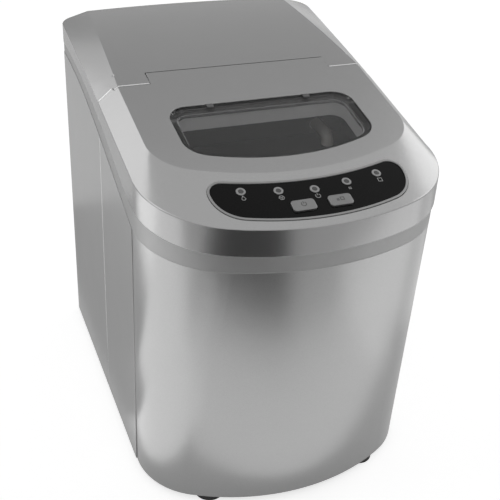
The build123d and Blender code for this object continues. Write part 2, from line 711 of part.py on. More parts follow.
def make_liner():
    """Inner pan of the lid with a wall up to the window's ledge."""
    inset = SKIN + FACE_GAP
    face = front_face(half_w - inset, front_y + inset, FRONT_ARC_R - inset, CORNER_R - inset, liner_y)
    plate = upright(face, 0, reach) & lid_solid(inset)
    plate &= above_plane(liner_plane()) - above_plane(liner_plane(LINER))
    wall_in = -GASKET_WIDTH
    wall = upright(window_face(wall_in + LINER) - window_face(wall_in), 0, reach)
    foot = PANE_RECESS + PANE + GASKET + LEDGE + FACE_GAP
    wall &= above_plane(liner_plane()) - above_plane(tilted(0, roof_z(0) - foot, ROOF_SLOPE))
    plate -= upright(window_face(wall_in), 0, reach)
    return plate + wall - columns(BOSS_SPOTS, SCREW_R + RUN_GAP, 0, reach)


def make_lid_screws():
    """Screws that hold the liner to the lid's bosses."""
    shape = Part()
    for x, y in BOSS_SPOTS:
        z = LINER_FRONT_Z + LINER_SLOPE * (y - front_y)
        head = z - LINER_SLOPE * SCREW_HEAD_R
        shape += rod((x, y, head), (x, y, z + LINER + 6), SCREW_R)
        shape += rod((x, y, head - SCREW_HEAD), (x, y, head), SCREW_HEAD_R)
    return shape


def make_key(x):
    """One key: cap above the panel, flange behind the skin."""
    frame = key_frame(x)
    low = SKIN + FACE_GAP
    cap = extrude(frame.offset(-low) * key_face(), low + KEY_PROUD)
    top = cap.faces().sort_by_distance(frame.offset(KEY_PROUD).origin)[0]
    cap = fillet(top.edges(), 0.6)
    flange = extrude(frame.offset(-low - KEY_FLANGE) * key_face(KEY_FLANGE), KEY_FLANGE)
    return cap + flange


def make_switches():
    """Tact switches on the board, one under each key."""
    shape = Part()
    plunger_top = SKIN + FACE_GAP + KEY_FLANGE + KEY_TRAVEL + 0.1
    for x in KEY_X:
        base = key_frame(x).offset(-BOARD_DEPTH)
        shape += extrude(base * Rectangle(6, 6), BOARD_DEPTH - plunger_top - 0.7)
        shape += extrude(base * Circle(1.7), BOARD_DEPTH - plunger_top)
    return shape


def make_board():
    """Key board that hangs from the lid's posts."""
    return upright(fascia_face(-TRIM_WIDTH * 2), 0, reach) & key_slab(BOARD_DEPTH, BOARD_DEPTH + BOARD)


def make_leds():
    """Small lamps on the board, under the indicator lenses."""
    spots = columns(led_spots(), LED_R - 0.5, 0, reach)
    return spots & above_plane(key_frame(0).offset(-BOARD_DEPTH)) & lid_solid(SKIN + 1)


def make_indicators():
    """Rings and lenses of the indicators, set through the key panel and the skin."""
    layer = lid_solid(-0.25) - lid_inner
    rings = columns(led_spots(), LED_R + LED_RING, 0, reach) - columns(led_spots(), LED_R + RUN_GAP, 0, reach)
    lenses = columns(led_spots(), LED_R, 0, reach)
    return rings & layer, lenses & layer


save("lid_shell", make_lid_shell())
save("lid_liner", make_liner())
save("lid_screws", make_lid_screws())
save("window_pane", upright(window_face(), 0, reach) & roof_slab(PANE_RECESS, PANE_RECESS + PANE))
gasket_plan = upright(window_face() - window_face(-GASKET_WIDTH), 0, reach)
save("window_gasket", gasket_plan & roof_slab(PANE_RECESS + PANE, PANE_RECESS + PANE + GASKET))
clip = block((CLIP_X - 2.5, CLIP_X + 2.5), (WINDOW_REAR_Y - 4, WINDOW_REAR_Y - 0.2), (0, reach))
save("window_clips", both_sides(clip) & roof_slab(PANE_RECESS - 0.8, PANE_RECESS))
plate = lid_solid(0.2) - lid_solid(0.2 + FASCIA_PLATE)
fascia = through_keys(upright(fascia_face(), 0, reach) & plate, SLIDE_GAP)
save("fascia", fascia - columns(led_spots(), LED_R + LED_RING + RUN_GAP, 0, reach))
trim_plan = upright(fascia_face(TRIM_WIDTH) - fascia_face(RUN_GAP), 0, reach)
save("fascia_trim", trim_plan & (lid_solid(-TRIM_PROUD) - lid_solid(0.2 + FASCIA_PLATE)))
save("left_key", make_key(KEY_X[0]))
save("right_key", make_key(KEY_X[1]))
save("key_switches", make_switches())
save("key_board", make_board())
save("indicator_lamps", make_leds())
rings, lenses = make_indicators()
save("indicator_rings", rings)
save("indicator_lenses", lenses)
pin = rod((TONGUE_HALF - HINGE_PIN_GRIP, HINGE_Y, hinge_z),
          (TONGUE_HALF + SLIDE_GAP + HINGE_EAR, HINGE_Y, hinge_z), HINGE_PIN_R)
save("hinge_pins", both_sides(pin))


# ================================================================ outer body
def rear_solid(inset):
    """Solid inside the rear cover's outer faces, moved in by inset."""
    start = SEAM_Y - SEAM_TOP_STEP
    sections = []
    for y, top, width, drop in ((start, roof_z(start), BEVEL_WIDTH, BEVEL_DROP),
                                (REAR_MID_Y, REAR_MID_Z, REAR_MID_BEVEL, REAR_MID_DROP),
                                (REAR_Y, REAR_TOP_Z, REAR_BEVEL, REAR_DROP)):
        bevel = atan(drop / width)
        side = half_w - inset
        edge_z = top - drop - inset * tan((pi / 2 - bevel) / 2)
        flat = half_w - width - inset * tan(bevel / 2)
        shape = Polygon((-side, RIM_FRONT_Z), (side, RIM_FRONT_Z), (side, edge_z), (flat, top - inset),
                        (-flat, top - inset), (-side, edge_z), align=None)
        sections.append(Plane(origin=(0, y, 0), x_dir=(1, 0, 0), z_dir=(0, -1, 0)) * shape)
    return loft(sections) & upright(body_plan(inset), 0, reach)


def make_rear_cover():
    """Top cover of the rear half, with the ears that carry the hinge pins."""
    ahead = upright(seam_face(SEAM_GAP, -SLIDE_GAP), 0, reach)
    ahead += rod((-TONGUE_HALF - SLIDE_GAP, HINGE_Y, hinge_z), (TONGUE_HALF + SLIDE_GAP, HINGE_Y, hinge_z),
                 lip_r + LIP_GAP)
    ahead += block((-TONGUE_HALF - SLIDE_GAP, TONGUE_HALF + SLIDE_GAP), (0, lip_y + SEAM_GAP), (hinge_z, reach))
    outer = rear_solid(0) - under_gap(-GAP_OPEN / 2 + PANEL_GAP)
    cross = block((-reach, reach), (CROSS_WALL_Y, CROSS_WALL_Y + SKIN), (0, reach))
    shell = outer - (rear_solid(SKIN) - cross)
    ear_low = hinge_z - HINGE_BARREL_R
    ear_x = TONGUE_HALF + SLIDE_GAP
    ear = block((ear_x, ear_x + HINGE_EAR), (HINGE_Y - HINGE_BARREL_R, CROSS_WALL_Y + 1), (ear_low, reach))
    swept = both_sides(block((TONGUE_HALF, level_x), (0, HINGE_Y), (hinge_z, reach)))
    swept -= swing_rods(-SEAM_GAP)
    shell = (shell + (both_sides(ear) & rear_solid(SKIN / 2))) - ahead - swept
    far = ear_x + HINGE_EAR
    shell -= rod((-far, HINGE_Y, hinge_z), (far, HINGE_Y, hinge_z), HINGE_PIN_R + PRESS_GAP)
    dimples = [Pos(x, DIMPLE_Y, roof_z(DIMPLE_Y)) * Sphere(DIMPLE_R) for x in (-crease_x, crease_x)]
    return shell - dimples


def tub_face(grow=0.0):
    """Plan of the tub grown all round."""
    return front_face(TUB_HALF + grow, TUB_FRONT_Y - grow, TUB_ARC_R + grow, TUB_CORNER_R + grow,
                      TUB_REAR_Y + grow)


def make_rim_frame():
    """Band round the body under the lid, with the deck that the tub hangs in."""
    plan = body_plan(0, RIM_SETBACK, RIM_SIDE_SET) - body_plan(RIM_WALL, RIM_SETBACK, RIM_SIDE_SET)
    band = (upright(plan, 0, reach) & under_gap(-GAP_OPEN / 2)) - under_rim(0)
    deck = upright(body_plan(RIM_WALL - 0.5, RIM_SETBACK, RIM_SIDE_SET), 0, reach)
    deck = (deck & under_gap(-DECK_DEPTH)) - under_gap(-DECK_DEPTH - TUB_WALL)
    deck -= upright(tub_face(FACE_GAP), 0, reach)
    deck -= block((-MACHINE_HALF, MACHINE_HALF), (CROSS_WALL_Y + SKIN, rear_side_y - 2 * SKIN), (0, reach))
    return band + deck


def front_solid(inset):
    """Solid behind the curved front panel's face, moved in by inset."""
    head = front_face(half_w - RIM_SIDE_SET - inset, front_y + RIM_SETBACK + inset,
                      FRONT_ARC_R - RIM_SETBACK - inset, CORNER_R - inset, 0)
    foot = front_face(half_w - PANEL_FOOT_SIDE - inset, front_y + RIM_SETBACK + PANEL_FOOT_BACK + inset,
                      PANEL_FOOT_ARC_R - inset, PANEL_FOOT_CORNER_R - inset, 0)
    return loft([Pos(0, 0, shell_z) * foot, Pos(0, 0, RIM_FRONT_Z) * head], ruled=True)


def make_front_panel():
    """Curved front between the two side panels."""
    shape = front_solid(0) - front_solid(FRONT_SKIN)
    kept = block((-reach, reach), (-reach, RIM_KINK_Y - PANEL_GAP), (shell_z, RIM_FRONT_Z - PANEL_GAP))
    return shape & kept


def make_side_panel():
    """Flat panel of the right side, from the front panel to the rear shell."""
    shape = block((half_w - PANEL, half_w), (RIM_KINK_Y, SEAM_Y - PANEL_GAP), (shell_z, reach))
    return shape & under_rim(-PANEL_GAP)


def louvres(x, y, z, across):
    """Row of slots one above another, each as long as across says."""
    shape = Part()
    count = int((z[1] - z[0]) // VENT_PITCH)
    for i in range(count):
        low = z[0] + i * VENT_PITCH
        for start, end in across:
            if x is None:
                shape += block((start, end), y, (low, low + VENT_SLOT))
            else:
                shape += block(x, (start, end), (low, low + VENT_SLOT))
    return shape


def make_rear_shell():
    """Back and rear sides in one piece, with the air slots and the cord inlet."""
    shape = upright(body_plan(0) - body_plan(PANEL), shell_z, reach)
    shape &= block((-reach, reach), (SEAM_Y + PANEL_GAP, reach), (0, reach))
    shape &= under_rim(-PANEL_GAP)
    shape -= both_sides(block((half_w - EDGE_DEPTH, reach), (0, SEAM_Y + PANEL_GAP + EDGE_WIDTH), (0, reach)))
    side = louvres((half_w - 2 * PANEL, reach), None, SIDE_VENT_Z, SIDE_VENT_Y)
    back = louvres(None, (rear_side_y - 2 * PANEL, reach), BACK_VENT_Z, BACK_VENT_X)
    shape -= shell_screws(SCREW_R + RUN_GAP, SCREW_HEAD_R + RUN_GAP)
    inlet = rod((GLAND_X, COMPRESSOR_Y, GLAND_Z), (GLAND_X, reach, GLAND_Z), GLAND_R + RUN_GAP)
    return shape - side - back - inlet


def base_face(inset):
    """Plan of the base, inside the foot of the front panel and the other panels."""
    return plan_face(half_w - PANEL_FOOT_SIDE - inset, front_y + RIM_SETBACK + PANEL_FOOT_BACK + inset,
                     PANEL_FOOT_ARC_R - inset, PANEL_FOOT_CORNER_R - inset, inset + PANEL_FOOT_SIDE)


def make_base():
    """Base tray with its upstand, the tub's posts and the bolt holes."""
    inset = FRONT_SKIN + FACE_GAP
    shape = upright(base_face(inset), shell_z, shell_z + BASE_RIM)
    shape -= upright(base_face(inset + PANEL), shell_z + BASE_PLATE, reach)
    shape += columns(TUB_POSTS, TUB_POST_R, shell_z, TUB_FLOOR_Z - FOAM - 2 * FACE_GAP)
    shape -= columns([DRAIN_SPOT], DRAIN_HEAD_R + RUN_GAP, 0, reach)
    shape -= columns(GROMMET_SPOTS, BOLT_R + RUN_GAP, 0, reach)
    shape -= shell_screws(SCREW_R + RUN_GAP)
    return shape - columns(FOOT_SPOTS, SCREW_R + RUN_GAP, 0, reach)


def back_at(x):
    """Depth of the bowed back's outer face at x."""
    bow_r = (half_w ** 2 + REAR_BOW ** 2) / (2 * REAR_BOW)
    return REAR_Y - bow_r + sqrt(bow_r ** 2 - x ** 2)


def shell_screws(radius, head=0.0):
    """Screws that hold the rear shell to the base's upstand."""
    shape = Part()
    for x in SHELL_SCREW_X:
        seat = back_at(x) - SCREW_HEAD
        shape += rod((x, seat - 8, SHELL_SCREW_Z), (x, seat, SHELL_SCREW_Z), radius)
        if head:
            shape += rod((x, seat, SHELL_SCREW_Z), (x, back_at(x) - RUN_GAP, SHELL_SCREW_Z), head)
    return shape


save("rear_cover", make_rear_cover())
save("rim_frame", make_rim_frame())
save("front_panel", make_front_panel())
save("right_panel", make_side_panel())
save("left_panel", mirror(make_side_panel(), Plane.YZ))
save("rear_shell", make_rear_shell())
save("base_tray", make_base())
feet = columns(FOOT_SPOTS, FOOT_R, 0, FOOT_HEIGHT) - columns(FOOT_SPOTS, SCREW_R + RUN_GAP, 0, reach)
feet -= columns(FOOT_SPOTS, SCREW_HEAD_R + RUN_GAP, 0, FOOT_HEIGHT / 2)
save("feet", feet)
screws = columns(FOOT_SPOTS, SCREW_R, FOOT_HEIGHT / 2, base_top + 3)
screws += columns(FOOT_SPOTS, SCREW_HEAD_R, FOOT_HEIGHT / 2 - SCREW_HEAD, FOOT_HEIGHT / 2)
save("case_screws", screws + shell_screws(SCREW_R, SCREW_HEAD_R))
inside = back_at(abs(GLAND_X) + GLAND_FLANGE_R) - PANEL - FACE_GAP
start = (GLAND_X, inside - GLAND_FLANGE, GLAND_Z)
gland = ring(start, (GLAND_X, back_at(GLAND_X) + GLAND_PROUD, GLAND_Z), GLAND_R, GLAND_BORE_R)
save("cord_gland", gland + ring(start, (GLAND_X, inside, GLAND_Z), GLAND_FLANGE_R, GLAND_BORE_R))


# ================================================================ tub and basket
def make_tub():
    """Moulded tub: reservoir below, basket and freezing set above, drain spout underneath."""
    outer = upright(tub_face(), TUB_FLOOR_Z, reach) & under_gap(-FLANGE_DEPTH)
    flange = upright(tub_face(TUB_FLANGE), 0, reach) & under_gap(-FLANGE_DEPTH)
    flange -= under_gap(-FLANGE_DEPTH - TUB_WALL)
    inner = upright(tub_face(-TUB_WALL), TUB_FLOOR_Z + TUB_WALL, reach)
    rail = block((BASKET_HALF - RAIL, TUB_HALF - TUB_WALL / 2), (BASKET_FRONT_Y + 40, BASKET_REAR_Y),
                 (BASKET_FLOOR_Z - RAIL, BASKET_FLOOR_Z - FACE_GAP))
    ledge = block((CHEEK_X + CHEEK + FACE_GAP * 2, TUB_HALF - TUB_WALL / 2), (BRACKET_Y[0], TUB_REAR_Y - 1),
                  (bracket_z - RAIL, bracket_z - FACE_GAP))
    shape = outer + flange - inner + both_sides(rail) + both_sides(ledge)
    x, y = DRAIN_SPOT
    shape += rod((x, y, DRAIN_SPOUT_Z), (x, y, TUB_FLOOR_Z + 1), DRAIN_R + TUB_WALL)
    shape -= rod((x, y, 0), (x, y, TUB_FLOOR_Z + 2 * TUB_WALL), DRAIN_R)
    shape += rod((PUMP_X, TUB_REAR_Y - 1, PUMP_Z), (PUMP_X, PUMP_Y - FACE_GAP, PUMP_Z), SPIGOT_R)
    shape -= rod((PUMP_X, TUB_REAR_Y - 9, PUMP_Z), (PUMP_X, PUMP_Y + 1, PUMP_Z), SPIGOT_R - 2)
    shape -= rod((TUB_HALF - 9, TRAY_Y, TRAY_Z), (TUB_HALF + 9, TRAY_Y, TRAY_Z), TRAY_PIN_R + 1)
    shape -= rod((HOSE_X, 0, HOSE_Z), (HOSE_X, TUB_REAR_Y + 20, HOSE_Z), HOSE_R + FACE_GAP)
    for x in PIPE_X:
        shape -= rod((x, 0, pipe_z), (x, TUB_REAR_Y + 20, pipe_z), SUCTION_R + FACE_GAP)
    return shape


def make_foam():
    """Foam jacket round the lower part of the tub."""
    shape = upright(tub_face(FOAM + FACE_GAP), TUB_FLOOR_Z - FOAM - FACE_GAP, FOAM_TOP_Z)
    shape -= upright(tub_face(FACE_GAP), TUB_FLOOR_Z - FACE_GAP, reach)
    shape -= columns([DRAIN_SPOT], DRAIN_R + TUB_WALL + FACE_GAP, 0, TUB_FLOOR_Z + 1)
    return shape - rod((PUMP_X, 0, PUMP_Z), (PUMP_X, PUMP_Y, PUMP_Z), SPIGOT_R + FACE_GAP)


def basket_face(grow=0.0):
    """Plan of the ice basket."""
    return front_face(BASKET_HALF + grow, BASKET_FRONT_Y - grow, TUB_ARC_R, BASKET_CORNER_R + grow,
                      BASKET_REAR_Y + grow)


def make_basket():
    """Lift-out basket with slotted walls and floor and an arched grip."""
    shape = upright(basket_face(), BASKET_FLOOR_Z, BASKET_TOP_Z)
    floor_z = BASKET_FLOOR_Z + BASKET_WALL
    shape -= upright(basket_face(-BASKET_WALL), floor_z, reach)
    low = floor_z + BASKET_SLOT * 1.5
    high = BASKET_TOP_Z - BASKET_SLOT * 2
    mid_y = (BASKET_FRONT_Y + BASKET_REAR_Y) / 2
    across = int((BASKET_HALF - BASKET_CORNER_R) // BASKET_PITCH)
    slots = Part()
    for i in range(-across, across + 1):
        x = i * BASKET_PITCH
        width = (x - BASKET_SLOT / 2, x + BASKET_SLOT / 2)
        slots += block(width, (-reach, 0), (low, high))
        slots += block(width, (mid_y - FLOOR_SLOT / 2, mid_y + FLOOR_SLOT / 2), (0, floor_z + 1))
    deep = int((BASKET_REAR_Y - BASKET_FRONT_Y - BASKET_CORNER_R - BASKET_PITCH) // BASKET_PITCH)
    for i in range(deep):
        y = BASKET_REAR_Y - BASKET_PITCH * (i + 1)
        slots += block((-reach, reach), (y - BASKET_SLOT / 2, y + BASKET_SLOT / 2), (low, high))
    shape -= slots
    inner = BASKET_HALF - BASKET_WALL
    root_z = BASKET_TOP_Z - GRIP_DEPTH
    peak_z = BASKET_TOP_Z + GRIP_RISE
    arch = ThreePointArc((-BASKET_HALF, root_z), (0, peak_z), (BASKET_HALF, root_z))
    lower = ThreePointArc((inner, root_z), (0, peak_z - GRIP_THICK), (-inner, root_z))
    ends = [Line(arch @ 1, lower @ 0), Line(lower @ 1, arch @ 0)]
    section = Plane.XZ * make_face([arch, lower] + ends)
    grip = Pos(0, mid_y + GRIP_WIDTH / 2, 0) * extrude(section, GRIP_WIDTH)
    return shape + grip


save("tub", make_tub())
save("tub_insulation", make_foam())
save("ice_basket", make_basket())
x, y = DRAIN_SPOT
plug = rod((x, y, DRAIN_SPOUT_Z - FACE_GAP), (x, y, TUB_FLOOR_Z - 2 * TUB_WALL), DRAIN_R - RUN_GAP)
plug += rod((x, y, 3), (x, y, DRAIN_SPOUT_Z - FACE_GAP), DRAIN_HEAD_R)
save("drain_plug", plug + block((x - DRAIN_HEAD_R + 1, x + DRAIN_HEAD_R - 1), (y - 1.5, y + 1.5), (1, 4)))
side = TUB_HALF - TUB_WALL - FACE_GAP
sensor = block((side - 6, side), (SENSOR_Y - 5, SENSOR_Y + 5), (SENSOR_Z - 5, SENSOR_Z + 5))
save("ice_sensors", both_sides(sensor))


# ================================================================ freezing set
def polar(radius, angle):
    """Place (depth, height) round the tray's axis; degrees from +Y towards +Z."""
    return TRAY_Y + radius * cos(radians(angle)), TRAY_Z + radius * sin(radians(angle))


def sector(inner, outer, start, end, half):
    """Part of a round trough about the tray's axis, between two angles and both sides of x = 0."""
    middle = (start + end) / 2
    outside = ThreePointArc(polar(outer, start), polar(outer, middle), polar(outer, end))
    inside = ThreePointArc(polar(inner, end), polar(inner, middle), polar(inner, start))
    edges = [outside, Line(outside @ 1, inside @ 0), inside, Line(inside @ 1, outside @ 0)]
    return extrude(Plane.YZ * make_face(edges), half, both=True)


def axle(low, high, radius):
    """Round bar on the tray's axis."""
    return rod((low, TRAY_Y, TRAY_Z), (high, TRAY_Y, TRAY_Z), radius)


def make_tray():
    """Water tray: a trough closed by two end caps."""
    start = 270 - TRAY_SPAN / 2
    trough = sector(TRAY_R, TRAY_R + TRAY_WALL, start, start + TRAY_SPAN, TRAY_HALF)
    cap = axle(TRAY_HALF - TRAY_WALL, TRAY_HALF, TRAY_R + TRAY_WALL / 2)
    cap &= block((0, reach), (-reach, reach), (0, TRAY_Z + 2 * TRAY_PIN_R))
    cap -= axle(0, reach, TRAY_PIN_R + PRESS_GAP)
    return trough + both_sides(cap)


def make_pusher():
    """Arms on the tray's pins that carry a curved blade under the tray."""
    half = TRAY_HALF + 2 * TRAY_WALL + 0.6
    hub = both_sides(axle(half - PUSHER_ARM, half, 2 * TRAY_PIN_R + 1))
    mid = (PUSHER_IN_R + PUSHER_OUT_R) / 2
    y, z = polar(mid / 2, PUSHER_REST)
    arm = Pos(half - PUSHER_ARM / 2, y, z) * Rot(PUSHER_REST - 90, 0, 0) * Box(PUSHER_ARM, 7, mid)
    start = PUSHER_REST - PUSHER_BLADE / 2
    blade = sector(PUSHER_IN_R, PUSHER_OUT_R, start, start + PUSHER_BLADE, half)
    return hub + both_sides(arm) + blade - axle(-half - 1, half + 1, TRAY_PIN_R + RUN_GAP)


def make_chute():
    """Trough under the pusher and the slide that sends ice into the basket, slotted to drain."""
    half = TUB_HALF - TUB_WALL - FACE_GAP
    lip_y, lip_z = CHUTE_LIP
    middle = (CHUTE_FROM + CHUTE_TO) / 2
    inside = ThreePointArc(polar(CHUTE_R, CHUTE_TO), polar(CHUTE_R, middle), polar(CHUTE_R, CHUTE_FROM))
    outer = CHUTE_R + CHUTE
    outside = ThreePointArc(polar(outer, CHUTE_FROM), polar(outer, middle), polar(outer, CHUTE_TO))
    slide = Polyline(inside @ 1, (lip_y, lip_z + CHUTE), (lip_y, lip_z), outside @ 0)
    face = make_face([inside, slide, outside, Line(outside @ 1, inside @ 0)])
    shape = extrude(Plane.YZ * face, half, both=True)
    pitch = 4 * BASKET_SLOT
    count = int(half // pitch)
    for i in range(-count, count + 1):
        x = i * pitch
        width = (x - BASKET_SLOT / 2, x + BASKET_SLOT / 2)
        shape -= block(width, (lip_y + CHUTE_RIM, TUB_REAR_Y - CHUTE_RIM), (0, TRAY_Z - TRAY_R))
    return shape


def make_evaporator():
    """Manifold with its rows of freezing fingers."""
    low = bracket_z - FACE_GAP - MANIFOLD
    edge = FINGER_ROW + FINGER_R
    shape = block((-MANIFOLD_HALF, MANIFOLD_HALF), (TRAY_Y - edge, TRAY_Y + edge), (low, low + MANIFOLD))
    tip = TRAY_Z - FINGER_TIP
    front = [(i * FINGER_PITCH, TRAY_Y - FINGER_ROW) for i in range(-2, 3)]
    back = [((i + 0.5) * FINGER_PITCH, TRAY_Y + FINGER_ROW) for i in range(-2, 2)]
    fingers = columns(front + back, FINGER_R, tip, low + 1)
    ends = fingers.faces().sort_by(Axis.Z)[:len(front + back)]
    return shape + fillet(ends.edges(), FINGER_R / 2)


def make_bracket():
    """Plate over the manifold with the cheeks that carry the tray and the fill nozzle."""
    half = TUB_HALF - TUB_WALL - FACE_GAP
    plate = block((-half, half), BRACKET_Y, (bracket_z, bracket_z + CHEEK))
    plate &= block((-reach, reach), (-reach, TUB_REAR_Y - TUB_WALL - 2 * FACE_GAP), (0, reach))
    cheek = block((CHEEK_X, CHEEK_X + CHEEK), (TRAY_Y - 9, TRAY_Y + 9), (TRAY_Z - 8, bracket_z + 1))
    shape = plate + both_sides(cheek) - axle(-CHEEK_X - CHEEK - 1, CHEEK_X + CHEEK + 1, TRAY_PIN_R + RUN_GAP)
    shape += rod((HOSE_X, TRAY_Y, bracket_z - 10), (HOSE_X, TRAY_Y, bracket_z + CHEEK + 0.7), NOZZLE_R + 1.5)
    return shape - rod((HOSE_X, TRAY_Y, 0), (HOSE_X, TRAY_Y, reach), NOZZLE_R - 1)


save("water_tray", make_tray())
motor_x = TUB_HALF + FACE_GAP
pins = axle(TRAY_HALF - TRAY_WALL + 0.2, motor_x + 9, TRAY_PIN_R)
save("tray_pins", pins + axle(-CHEEK_X - CHEEK - 1, -TRAY_HALF + TRAY_WALL - 0.2, TRAY_PIN_R))
save("ice_pusher", make_pusher())
save("ice_chute", make_chute())
save("evaporator", make_evaporator())
save("evaporator_bracket", make_bracket())
motor = axle(motor_x, half_w - PANEL - 4, TRAY_MOTOR_R)
motor += block((motor_x, motor_x + 3), (TRAY_Y - 22, TRAY_Y + 22), (TRAY_Z - 6, TRAY_Z + 6))
save("tray_motor", motor - axle(motor_x - 1, motor_x + 10, TRAY_PIN_R + RUN_GAP))


# ================================================================ water side
def make_bulkhead():
    """Sheet between the tub and the machinery, from the base to the deck."""
    half = half_w - PANEL - FACE_GAP
    shape = block((-half, half), (bulkhead_y, bulkhead_y + SHEET), (base_top + FACE_GAP, reach))
    shape &= under_gap(-DECK_DEPTH - TUB_WALL - FACE_GAP)
    shape -= block((half - PANEL, reach), (0, reach), (0, shell_z + BASE_RIM + FACE_GAP))
    shape -= block((-reach, PANEL - half), (0, reach), (0, shell_z + BASE_RIM + FACE_GAP))
    shape -= block((-reach, RIM_WALL + RIM_SIDE_SET - half_w), (0, reach), (RIM_MID_Z - 4, reach))
    shape -= block((half_w - RIM_SIDE_SET - RIM_WALL, reach), (0, reach), (RIM_MID_Z - 4, reach))
    holes = rod((PUMP_X, 0, PUMP_Z), (PUMP_X, PUMP_Y + 9, PUMP_Z), SPIGOT_R + FACE_GAP)
    holes += rod((HOSE_X, 0, HOSE_Z), (HOSE_X, PUMP_Y + 9, HOSE_Z), HOSE_R + FACE_GAP)
    for x in PIPE_X:
        holes += rod((x, 0, pipe_z), (x, PUMP_Y + 9, pipe_z), SUCTION_R + FACE_GAP)
    return shape - holes


def make_pump():
    """Pump body with its upward outlet and foot."""
    body = rod((PUMP_X, PUMP_Y, PUMP_Z), (PUMP_X, PUMP_Y + PUMP_LENGTH, PUMP_Z), PUMP_R)
    body += rod((HOSE_X, HOSE_Y, PUMP_Z), (HOSE_X, HOSE_Y, PUMP_Z + PUMP_R), HOSE_R)
    half = PUMP_R * 0.6
    body += block((PUMP_X - half, PUMP_X + half), (PUMP_Y + 2, PUMP_Y + PUMP_LENGTH - 2),
                  (base_top + FACE_GAP, PUMP_Z - half))
    return body - rod((PUMP_X, PUMP_Y - 1, PUMP_Z), (PUMP_X, PUMP_Y + 4, PUMP_Z), SPIGOT_R - 2)


save("bulkhead", make_bulkhead())
save("water_pump", make_pump())
hose = [(HOSE_X, HOSE_Y, PUMP_Z + PUMP_R + FACE_GAP), (HOSE_X, HOSE_Y, HOSE_Z), (HOSE_X, TRAY_Y, HOSE_Z),
        (HOSE_X, TRAY_Y, bracket_z + CHEEK + 1)]
save("pump_hose", pipe(hose, 7, HOSE_R, HOSE_BORE_R))


# ================================================================ cooling machinery
def make_compressor():
    """Welded dome on a leg plate, with stubs for the pipes on its crown."""
    top = leg_z + COMPRESSOR_HEIGHT
    dome = rod((COMPRESSOR_X, COMPRESSOR_Y, leg_z), (COMPRESSOR_X, COMPRESSOR_Y, top), COMPRESSOR_R)
    crown = dome.faces().sort_by(Axis.Z)[-1]
    dome = fillet(crown.edges(), COMPRESSOR_R / 2)
    rim = COMPRESSOR_R + 1.5
    middle = leg_z + COMPRESSOR_HEIGHT * 0.45
    seam = rod((COMPRESSOR_X, COMPRESSOR_Y, middle), (COMPRESSOR_X, COMPRESSOR_Y, middle + 4), rim)
    side = 2 * MOUNT_SPREAD + 2 * GROMMET_R
    plate = Pos(COMPRESSOR_X, COMPRESSOR_Y) * RectangleRounded(side, side, GROMMET_R)
    legs = upright(plate, leg_z, leg_z + LEG)
    return dome + seam + legs - columns(GROMMET_SPOTS, BOLT_R + RUN_GAP, 0, leg_z + LEG + 1)


def tube_path():
    """Corner points of the condenser's tube, from its upper to its lower end."""
    low = CONDENSER_Z + (CONDENSER_HEIGHT - (CONDENSER_PASSES - 1) * CONDENSER_PITCH) / 2
    x = CONDENSER_X + CONDENSER_THICK / 2
    ends = (CONDENSER_Y + CONDENSER_LENGTH / 2 + 16, CONDENSER_Y - CONDENSER_LENGTH / 2 - 16)
    points = []
    for i in range(CONDENSER_PASSES):
        z = low + (CONDENSER_PASSES - 1 - i) * CONDENSER_PITCH
        run = [(x, ends[0], z), (x, ends[1], z)]
        points += run if i % 2 == 0 else run[::-1]
    start = (x, ends[0], points[0][2] + 13)
    end = (x - 17, ends[0], points[-1][2])
    return [start] + points + [end]


def tube_holes():
    """Bars that clear the condenser's straight passes."""
    shape = Part()
    for a, b in zip(tube_path()[1:-1:2], tube_path()[2:-1:2]):
        shape += rod(a, b, TUBE_R + RUN_GAP)
    return shape


def make_fins():
    """Row of thin fins that the tube runs through."""
    shape = []
    holes = tube_holes()
    count = int(CONDENSER_LENGTH // FIN_PITCH)
    start = CONDENSER_Y - (count - 1) * FIN_PITCH / 2
    face = block((CONDENSER_X, CONDENSER_X + CONDENSER_THICK), (-FIN / 2, FIN / 2),
                 (CONDENSER_Z, CONDENSER_Z + CONDENSER_HEIGHT))
    for i in range(count):
        shape.append(Pos(0, start + i * FIN_PITCH, 0) * face)
    return Part() + shape - holes


def make_end_plates():
    """Plates that stand on the base at both ends of the fins."""
    shape = Part()
    for side in (-1, 1):
        y = CONDENSER_Y + side * CONDENSER_LENGTH / 2
        shape += block((CONDENSER_X, CONDENSER_X + CONDENSER_THICK), (y - END_PLATE / 2, y + END_PLATE / 2),
                       (base_top + FACE_GAP, CONDENSER_Z + CONDENSER_HEIGHT))
    return shape - tube_holes()


def make_shroud():
    """Plate against the condenser with a round duct for the fan."""
    x = CONDENSER_X - FACE_GAP
    half = CONDENSER_LENGTH / 2 + END_PLATE / 2
    plate = block((x - SHEET, x), (CONDENSER_Y - half, CONDENSER_Y + half),
                  (base_top + FACE_GAP, CONDENSER_Z + CONDENSER_HEIGHT))
    duct = rod((x - SHEET - FAN_DUCT, CONDENSER_Y, fan_z), (x, CONDENSER_Y, fan_z), FAN_R + DUCT_GAP + SHEET)
    return plate + duct - rod((0, CONDENSER_Y, fan_z), (reach, CONDENSER_Y, fan_z), FAN_R + DUCT_GAP)


def make_fan():
    """Hub with pitched blades and its shaft."""
    x = fan_x
    shape = rod((x, CONDENSER_Y, fan_z), (x + FAN_DEPTH, CONDENSER_Y, fan_z), FAN_HUB_R)
    shape += rod((x - SHAFT_FREE - SHAFT_GRIP, CONDENSER_Y, fan_z), (x + 1, CONDENSER_Y, fan_z), FAN_SHAFT_R)
    length = FAN_R - FAN_HUB_R
    blade = Pos(0, 0, FAN_HUB_R + length / 2 - 1) * Rot(0, 0, 50) * Box(FAN_BLADE, FAN_CHORD, length)
    blade &= rod((-reach, 0, 0), (reach, 0, 0), FAN_R - 0.5)
    for i in range(FAN_BLADES):
        turn = Rot(i * 360 / FAN_BLADES, 0, 0)
        shape += Pos(x + FAN_DEPTH / 2, CONDENSER_Y, fan_z) * turn * blade
    return shape


